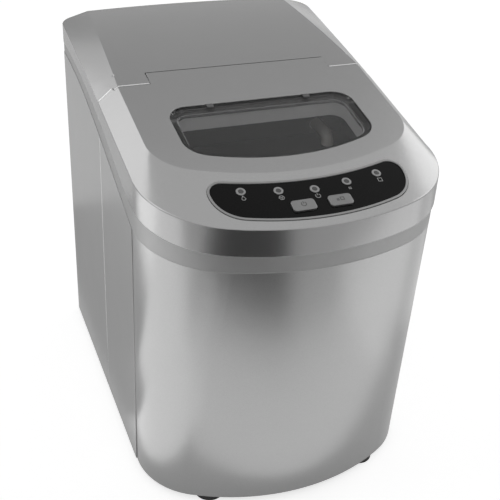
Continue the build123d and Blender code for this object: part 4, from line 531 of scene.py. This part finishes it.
def board():
    """Green solder mask over a grid of tracks."""
    material, tree, shader = start_material("green circuit board", Coat_Weight=0.4, Coat_Roughness=0.15)
    spot = place(tree, "ShaderNodeTexCoord").outputs["Object"]
    tracks = place(tree, "ShaderNodeTexBrick", None, Vector=spot, Scale=TRACKS_PER_METRE, Mortar_Size=0.06,
                   **MASK_GREENS)
    texture = effect(tree, grain, Size=0.5, Pitting=0.1)
    tree.links.new(tracks.outputs["Color"], shader["Base Color"])
    tree.links.new(between(tree, texture["Shade"], 0.28, 0.42), shader["Roughness"])
    tree.links.new(bump(tree, tracks.outputs["Fac"], TRACK_HEIGHT), shader["Normal"])
    return material


def components():
    """Capacitors and relays: blue and black, from one to the next."""
    material, tree, shader = start_material("board parts")
    spot = place(tree, "ShaderNodeTexCoord").outputs["Object"]
    which = place(tree, "ShaderNodeTexNoise", None, Vector=spot, Scale=46.0, Detail=0.0)
    step = between(tree, which.outputs["Fac"], start=0.48, end=0.52)
    texture = effect(tree, grain, Size=0.6, Pitting=0.2)
    colour = blend(tree, step, CAPACITOR_BLUE, RELAY_BLACK)
    worn = math(tree, "MULTIPLY", texture["Shade"], 0.3)
    tree.links.new(blend(tree, worn, colour, grey(0.25)), shader["Base Color"])
    tree.links.new(between(tree, texture["Shade"], 0.25, 0.5), shader["Roughness"])
    tree.links.new(bump(tree, texture["Height"], MOULD_DEPTH), shader["Normal"])
    return material


finishes |= {"board_green": board(), "parts_blue": components()}
print("all finishes:", len(finishes))

# %% [markdown]
# ## Giving every piece its finish
#
# The record says which finish each piece has, and the imported mesh carries that name in its
# material slot. Each piece could be named here, but then a new piece would stay bare, so the
# slot is read and the matching recipe put in its place. Two pieces get a finish of their own:
# the small window clips are grey, and the bracket over the tray takes the tub's near black,
# which is the shade inside the machine painted into its colour.

# %% dress the construction
# the bracket shares the tub's near black, painted shade of the machine's inside
OWN_FINISH = {"window_clips": "clip_grey", "evaporator_bracket": "tub_grey"}
for name, node in frame["nodes"].items():
    for slot in node.material_slots:
        slot.material = finishes[OWN_FINISH.get(name, slot.material.name.split(".")[0])]
print(f"dressed {len(frame['nodes'])} nodes in {len(finishes)} finishes")

# %% [markdown]
# ## Adding a piece
#
# New pieces are small: bright beads in the seams and in a joint, which paint the highlights
# of their edges, a dark strip behind the tongue, which paints the shade in that gap, and
# printed signs. They are all shaped with bmesh operators, so one helper turns a bmesh into an
# object, gives it its finish and lets it ride on a body. What lies on a sloping cover could be
# placed by its known slope, but a ray that falls on the real surface is simpler and exact, and
# another helper casts it.

# %% helpers for new pieces
def add_piece(name, bm, body, finish):
    """Makes an object of a bmesh, with its normals outward, and lets it ride on a body."""
    bmesh.ops.recalc_face_normals(bm, faces=bm.faces)
    mesh = bpy.data.meshes.new(name)
    bm.to_mesh(mesh)
    bm.free()
    piece = bpy.data.objects.new(name, mesh)
    bpy.context.scene.collection.objects.link(piece)
    mesh.materials.append(finish)
    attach(piece, body)
    print(f"{name}: {len(mesh.polygons)} faces on {body}")


def verts_of(made):
    """The vertices among what an operator made."""
    return [part for part in made["geom"] if isinstance(part, bmesh.types.BMVert)]


def surface(*names):
    """Ray target made of some pieces of the construction."""
    joined = bmesh.new()
    for name in names:
        joined.from_mesh(frame["nodes"][name].data)
    tree = BVHTree.FromBMesh(joined)
    joined.free()
    return tree


ABOVE = 1.0                     # where every ray starts, high over the machine
DOWN = Vector((0, 0, -1))


def top_of(target, x, y):
    """Height of a target's upper side at a place in plan."""
    return target.ray_cast(Vector((x, y, ABOVE)), DOWN)[0].z


# %% [markdown]
# ## A painted highlight in the lid's seam
#
# Where the lid meets the rear cover, the edges of the seam catch the light as a thin white
# line over the bevel. That highlight is painted: a bright, polished bead lies round the rear
# cover's edge and stands in for it. The seam crosses the roof, steps back, goes over the bevel
# and runs down the side, so a box can't stand in for it. Each bead is a ribbon extruded from
# that line, with a thickness and rounded edges. It keeps inside the circle that the lid's edge
# draws about the hinge, so that the lid still swings past it.

# %% the seam, measured
SIDES = ((-1, "left"), (1, "right"))
SEAM_GAP = 0.8 * MM             # between the lid and the rear cover
SEAM_STEP = 4.0 * MM            # how far the seam steps back at the bevel
STEP_INSET = 12.2 * MM          # from the side in to that step
cover_low, cover_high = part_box("rear_cover")
half_width = cover_high.x
lid_end = cover_low.y - SEAM_GAP
step_x = half_width - STEP_INSET
tongue_x = 79.3 * MM
both_covers = surface("rear_cover", "lid_shell")
print(f"seam: lid ends at y {lid_end / MM:.2f} mm, steps back at x {step_x / MM:.2f} mm")

# %% ribbons
def ribbon(points, across, inward, rounding):
    """Closed strip: a line of points moved across, then inward, with its outer edges rounded."""
    bm = bmesh.new()
    verts = [bm.verts.new(p) for p in points]
    line = [bm.edges.new(pair) for pair in zip(verts, verts[1:])]
    grown = bmesh.ops.extrude_edge_only(bm, edges=line)
    bmesh.ops.translate(bm, vec=across, verts=verts_of(grown))
    outer = set(bm.faces)
    sunk = bmesh.ops.extrude_face_region(bm, geom=list(outer), use_keep_orig=True)
    bmesh.ops.translate(bm, vec=inward, verts=verts_of(sunk))
    border = [e for e in bm.edges if sum(f in outer for f in e.link_faces) == 1]
    bmesh.ops.bevel(bm, geom=border, offset=rounding, segments=2, profile=0.5, affect="EDGES", material=-1)
    return bm


# %% seam beads that paint the seam's highlight
BEAD_RISE = 0.05 * MM            # of the bead over the covers
BEAD_WIDTH = 1.42 * MM
BEAD_AFTER = 0.25 * MM           # from the lid's end back to the bead
BEAD_DEPTH = 0.3 * MM
BEAD_ROUND = 0.10 * MM
SIDE_SINK = 0.04 * MM           # of the side bead below the cover's side
SIDE_WIDTH = 0.66 * MM
SIDE_AFTER = 0.07 * MM
SIDE_TRIM = (0.4 * MM, 0.2 * MM)     # what the side bead leaves free above and below it
# where the beads are laid on the covers: from the tongue out to the step, and on to the side
ROOF_XS = (tongue_x, 91.7 * MM, 104.5 * MM, step_x - 0.6 * MM)
BEVEL_XS = (step_x + 0.7 * MM, 111.0 * MM, 114.3 * MM, 117.1 * MM, half_width - 0.55 * MM)


def over_covers(side, xs, y):
    """Points of a bead that lies across the covers, probed just behind the seam."""
    return [(side * x, y, top_of(both_covers, side * x, y + BEAD_WIDTH) + BEAD_RISE) for x in xs]


def seam_highlight(side, label):
    """Three bright beads along one side that paint the seam's highlight: over the roof, over the bevel, and
    down the side.
    """
    roof = over_covers(side, ROOF_XS, lid_end + BEAD_AFTER)
    bevel = over_covers(side, BEVEL_XS, lid_end + BEAD_AFTER + SEAM_STEP)
    x, y = side * (half_width - SIDE_SINK), lid_end + SEAM_STEP + SIDE_AFTER
    down = [(x, y, bevel[-1][2] - SIDE_TRIM[0]), (x, y, cover_low.z + SIDE_TRIM[1])]
    inward = (-side * BEAD_DEPTH, 0, -BEAD_DEPTH)
    beads = (("roof", roof, BEAD_WIDTH), ("bevel", bevel, BEAD_WIDTH), ("side", down, SIDE_WIDTH))
    for part, points, wide in beads:
        strip = ribbon(points, (0, wide, 0), inward, BEAD_ROUND)
        add_piece(f"seam_{part}_{label}", strip, "cabinet", finishes["seam_bead"])


for side, label in SIDES:
    seam_highlight(side, label)

# %% [markdown]
# The side panels butt against the rear shell, and the edges of that joint catch the light as
# a bright line. A bright bead paints that highlight: it lies in a shallow step of the shell's
# edge, a hair below the panels. It could be a thin box, but the same ribbon gives it rounded
# edges, and those catch the light.

# %% beads that paint the joint's highlight
JOINT_BEAD_SINK = 0.04 * MM         # below the panel's side
JOINT_BEAD_AFTER = 0.45 * MM        # from the panel's rear edge back to the strip
JOINT_BEAD_LIFT = 0.2 * MM
JOINT_BEAD_WIDTH = 0.8 * MM
JOINT_BEAD_DEPTH = 0.2 * MM
JOINT_BEAD_ROUND = 0.08 * MM
panel_low, panel_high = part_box("right_panel")
for side, label in SIDES:
    x, y = side * (half_width - JOINT_BEAD_SINK), panel_high.y + JOINT_BEAD_AFTER
    line = [(x, y, panel_low.z + JOINT_BEAD_LIFT), (x, y, panel_high.z)]
    strip = ribbon(line, (0, JOINT_BEAD_WIDTH, 0), (-side * JOINT_BEAD_DEPTH, 0, 0), JOINT_BEAD_ROUND)
    add_piece(f"joint_highlight_{label}", strip, "cabinet", finishes["seam_bead"])

# %% [markdown]
# Behind the tongue, the gap at the rear cover's edge lies in shade and shows as a thin dark
# line. A dark rubber strip on the cover's edge paints that shade. It could be a long thin box,
# but the cover's edge curves about the hinge axis. So the strip is one edge spun about that
# axis, thickened towards the cover.

# %% painted shade behind the tongue
SHADE_STRIP_RADIUS = 10.47 * MM        # from the hinge axis
SHADE_STRIP_TOP = radians(47.3)        # where the strip begins, up from level
SHADE_STRIP_SWEEP, SHADE_STRIP_STEPS = radians(22), 5
SHADE_STRIP_SWELL = 1.01               # how much further out its other face lies
hinge = next(joint for joint in frame["joints"] if joint["name"] == "lid_hinge")
hinge_at = Vector(hinge["pos_m"])
shade_strip = bmesh.new()
rim = hinge_at + Vector((0, cos(SHADE_STRIP_TOP), sin(SHADE_STRIP_TOP))) * SHADE_STRIP_RADIUS
edge = shade_strip.edges.new([shade_strip.verts.new(rim + Vector((side * (tongue_x - MM), 0, 0))) for side, _ in SIDES])
bmesh.ops.spin(shade_strip, geom=[*edge.verts, edge], cent=hinge_at, axis=(1, 0, 0), angle=-SHADE_STRIP_SWEEP,
               steps=SHADE_STRIP_STEPS)
thick = bmesh.ops.extrude_face_region(shade_strip, geom=shade_strip.faces[:], use_keep_orig=True)
bmesh.ops.scale(shade_strip, vec=(1, SHADE_STRIP_SWELL, SHADE_STRIP_SWELL), space=Matrix.Translation(-hinge_at),
                verts=verts_of(thick))
add_piece("hinge_gap_shade", shade_strip, "cabinet", finishes["rubber_black"])

# %% [markdown]
# ## Signs on the key panel
#
# Each indicator has a small printed sign in front of it, and each key one on its cap. They
# are plain signs that need no words: a drop for water, a cube for a full basket, a ring with
# a stroke for power, and a small and a large square for the size of the ice. An image could
# carry them, but ink that is real geometry stays sharp at any distance. A sign is built flat
# from rings, arcs and bars, dropped on to the panel by rays, and given the thickness of a
# layer of ink.

# %% strokes
LINE = 0.55 * MM
ROUND_SIDES = 24


def ring(bm, radius, sides, at=(0, 0), turn=0.0):
    """Outline of a circle or a regular shape, one line wide."""
    spot = Matrix.Translation((*at, 0)) @ Matrix.Rotation(turn, 4, "Z")
    loops = set()
    for size in (radius, radius - LINE / cos(pi / sides)):
        made = bmesh.ops.create_circle(bm, segments=sides, radius=size, matrix=spot)["verts"]
        loops.update(e for v in made for e in v.link_edges)
    bmesh.ops.bridge_loops(bm, edges=list(loops))


def square(bm, radius, at=(0, 0)):
    """Outline of a square, given by half its diagonal."""
    ring(bm, radius, 4, at, pi / 4)


def bar(bm, start, end):
    """Straight line from one point to another."""
    a, b = Vector((*start, 0)), Vector((*end, 0))
    turn = (b - a).to_track_quat("X", "Z").to_matrix().to_4x4()
    size = Matrix.Diagonal(((b - a).length, LINE, 1, 1))
    bmesh.ops.create_grid(bm, x_segments=2, y_segments=1, size=0.5,
                          matrix=Matrix.Translation((a + b) / 2) @ turn @ size)


def arc(bm, radius, start, sweep):
    """Part of a circle, one line wide."""
    ray = Vector((cos(start), sin(start), 0))
    edge = bm.edges.new([bm.verts.new(ray * radius), bm.verts.new(ray * (radius - LINE))])
    bmesh.ops.spin(bm, geom=[*edge.verts, edge], cent=(0, 0, 0), axis=(0, 0, 1), angle=sweep,
                   steps=ROUND_SIDES)


# %% signs
def drop_sign(bm, radius=1.7 * MM, narrowing=0.55, lengthening=0.75):
    """Drop of water: a ring whose upper half is drawn to a point."""
    ring(bm, radius, ROUND_SIDES)
    for v in bm.verts:
        up = max(0.0, v.co.y / radius)
        v.co.x *= 1 - narrowing * up
        v.co.y *= 1 + lengthening * up


def cube_sign(bm, radius=2.3 * MM, reach=1.9 * MM):
    """Cube of ice: a six-sided ring with its three near edges."""
    ring(bm, radius, 6, turn=pi / 6)
    for angle in (pi / 6, 5 * pi / 6, 3 * pi / 2):
        bar(bm, (0, 0), (reach * cos(angle), reach * sin(angle)))


def power_sign(bm, radius=2.1 * MM, gap=radians(70), stroke=(0.4 * MM, 2.5 * MM)):
    """Ring open at the top, with a stroke in the gap."""
    arc(bm, radius, pi / 2 + gap / 2, 2 * pi - gap)
    bar(bm, (0, stroke[0]), (0, stroke[1]))


def small_square(bm):
    """Sign for small ice."""
    square(bm, 1.5 * MM)


def large_square(bm):
    """Sign for large ice."""
    square(bm, 2.6 * MM)


def size_sign(bm):
    """Small square beside a large one, for the key that chooses the size."""
    square(bm, 1.3 * MM, at=(-2.2 * MM, -0.6 * MM))
    square(bm, 2.2 * MM, at=(1.3 * MM, 0))


# %% printing
INK_RISE = 0.05 * MM
INK_DEPTH = 0.07 * MM


def print_sign(name, draw, target, at, body, ink):
    """Draws a sign, drops it on to a surface and gives the ink its thickness."""
    bm = bmesh.new()
    draw(bm)
    for v in bm.verts:
        x, y = at[0] + v.co.x, at[1] + v.co.y
        v.co = (x, y, top_of(target, x, y) + INK_RISE)
    sunk = bmesh.ops.extrude_face_region(bm, geom=bm.faces[:], use_keep_orig=True)
    bmesh.ops.translate(bm, vec=(0, 0, -INK_DEPTH), verts=verts_of(sunk))
    add_piece(name, bm, body, ink)


# %% signs in front of the indicators
RING_REACH = 5 * MM             # wide enough to take in one ring only
RING_RADIUS = 3.5 * MM
SIGN_AHEAD = 6.6 * MM           # from a ring's middle forward to its sign
rings = [v.co for v in frame["nodes"]["indicator_rings"].data.vertices]
pitch = (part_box("indicator_rings")[1].x - RING_RADIUS) / 2
panel = surface("fascia")
signs = (("water", drop_sign), ("full", cube_sign), ("power", power_sign), ("small", small_square),
         ("large", large_square))
for place_number, (label, draw) in enumerate(signs, start=-2):
    x = place_number * pitch
    ys = [co.y for co in rings if abs(co.x - x) < RING_REACH]
    at = (x, (min(ys) + max(ys)) / 2 - SIGN_AHEAD)
    print_sign(f"sign_{label}", draw, panel, at, "lid", finishes["light_ink"])

# %% signs on the keys
KEY_SIGN_AHEAD = 0.9 * MM
for label, draw in (("left", power_sign), ("right", size_sign)):
    key_low, key_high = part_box(f"{label}_key")
    at = ((key_low.x + key_high.x) / 2, (key_low.y + key_high.y) / 2 - KEY_SIGN_AHEAD)
    print_sign(f"sign_{label}_key", draw, surface(f"{label}_key"), at, f"{label}_button",
               finishes["dark_ink"])

# %% [markdown]
# ## The studio
#
# A pale floor that runs to the horizon, a white room, and two large soft lamps. The left one
# stands beside the machine and a little behind it, and lights the lid's left bevel. The right
# one is stronger and gives the right side its shape. A bright room alone would give no shadow
# and no form. So the camera, gloss and glass see the room as white, but what it sheds on matt
# surfaces is held lower, and the lamps do the rest.

# %% room
def seen(tree):
    """1 for what the camera, a reflection or a view through glass sees."""
    path = place(tree, "ShaderNodeLightPath").outputs
    either = math(tree, "MAXIMUM", path["Is Camera Ray"], path["Is Glossy Ray"])
    return math(tree, "MAXIMUM", either, path["Is Transmission Ray"])


ROOM_LIGHT = 0.36
world = bpy.data.worlds.new("white room")
world.use_nodes = True
bpy.context.scene.world = world
room = world.node_tree
background = room.nodes["Background"].inputs
background["Color"].default_value = grey(1.0)
room.links.new(between(room, seen(room), ROOM_LIGHT, 1.0), background["Strength"])
print("room: matt surfaces get", ROOM_LIGHT, "of white")

# %% floor
FLOOR_HALF = 15.0
FLOOR_GREY = 0.62
FLOOR_GLOW = 0.72               # what the camera sees of the floor's own light
FLOOR_SHINE = 0.38              # what gloss and glass see of it
bm = bmesh.new()
bmesh.ops.create_grid(bm, x_segments=1, y_segments=1, size=FLOOR_HALF)
floor_mesh = bpy.data.meshes.new("floor")
bm.to_mesh(floor_mesh)
bm.free()
floor = bpy.data.objects.new("floor", floor_mesh)
bpy.context.scene.collection.objects.link(floor)
pale = bpy.data.materials.new("pale floor")
pale.use_nodes = True
tree = pale.node_tree
tree.nodes.remove(tree.nodes["Principled BSDF"])
matt = place(tree, "ShaderNodeBsdfDiffuse", None, Color=grey(FLOOR_GREY))
direct = place(tree, "ShaderNodeLightPath").outputs["Is Camera Ray"]
strength = math(tree, "MULTIPLY", seen(tree), between(tree, direct, FLOOR_SHINE, FLOOR_GLOW))
glow = place(tree, "ShaderNodeEmission", None, Color=grey(1.0), Strength=strength)
both = place(tree, "ShaderNodeAddShader", None, (matt.outputs[0], glow.outputs[0]))
tree.links.new(both.outputs[0], tree.nodes["Material Output"].inputs["Surface"])
floor_mesh.materials.append(pale)
print("floor:", 2 * FLOOR_HALF, "m across")


# %% lamps
AIM = Vector((0, 0, 0.18))


def soft_lamp(name, middle, size, radiance):
    """A rectangular area lamp that faces the machine, given by its brightness instead of its power."""
    data = bpy.data.lights.new(name, "AREA")
    data.shape = "RECTANGLE"
    data.size, data.size_y = size
    data.energy = radiance * pi * size[0] * size[1]
    lamp = bpy.data.objects.new(name, data)
    bpy.context.scene.collection.objects.link(lamp)
    lamp.location = middle
    lamp.rotation_euler = (AIM - lamp.location).to_track_quat("-Z", "Y").to_euler()
    print(f"{name}: {data.energy:.2f} W")


soft_lamp("left softbox", (-1.20, 0.62, 0.98), size=(1.6, 1.1), radiance=0.88)
soft_lamp("right softbox", (1.35, 0.24, 0.85), size=(1.3, 1.0), radiance=1.2)

# %% [markdown]
# Gloss shows what stands round the machine, and an even white room would make silver look
# like grey card. More lamps would light everything else too. A studio uses cards instead, and
# here only reflections see them. A black card on the floor in front gives the front band its
# dark patch. White ones lie in front, at both front corners and on either side, and grey ones
# lie close to both sides, where the upright panels look down. A big grey one hangs behind, for
# the roof. The card at the left corner lies on top of its neighbours.

# %% cards
def card(name, low, high, brightness):
    """A thin board between two corners that only reflections see, as bright as given."""
    low, high = Vector(low), Vector(high)
    bm = bmesh.new()
    bmesh.ops.create_cube(bm, size=1.0)
    bmesh.ops.scale(bm, vec=high - low, verts=bm.verts)
    bmesh.ops.translate(bm, vec=(high + low) / 2, verts=bm.verts)
    mesh = bpy.data.meshes.new(name)
    bm.to_mesh(mesh)
    bm.free()
    obj = bpy.data.objects.new(name, mesh)
    bpy.context.scene.collection.objects.link(obj)
    paper = bpy.data.materials.new(name)
    paper.use_nodes = True
    tree = paper.node_tree
    tree.nodes.remove(tree.nodes["Principled BSDF"])
    shade = place(tree, "ShaderNodeEmission", None, Color=grey(1.0), Strength=brightness)
    tree.links.new(shade.outputs[0], tree.nodes["Material Output"].inputs["Surface"])
    mesh.materials.append(paper)
    obj.visible_camera = obj.visible_diffuse = obj.visible_shadow = obj.visible_transmission = False


def floor_card(name, near, far, brightness, layer=1):
    """A card that lies on the floor between two corners in plan, in one of the layers of a pile."""
    card(name, (*near, layer * MM), (*far, (layer + 1) * MM), brightness)


floor_card("black card", (-0.42, -0.90), (0.03, -0.385), 0.0)
floor_card("front white card", (-0.28, -0.36), (0.20, -0.18), 1.2)
floor_card("front right card", (0.20, -0.46), (0.75, -0.18), 1.45)
floor_card("corner white card", (-0.80, -0.25), (-0.20, 0.05), 1.5, layer=2)
floor_card("near corner card", (-0.20, -0.25), (-0.14, -0.03), 1.5)
floor_card("left white card", (-0.85, 0.05), (-0.36, 0.35), 2.0)
floor_card("left grey card", (-0.34, -0.02), (-0.13, 0.38), 0.47)
floor_card("right white card", (0.28, -0.18), (0.85, 0.08), 0.95)
floor_card("right grey card", (0.13, 0.10), (0.80, 1.60), 0.55)
card("grey card behind", (-0.60, 2.2, 0.95), (1.9, 2.201, 3.0), 0.62)
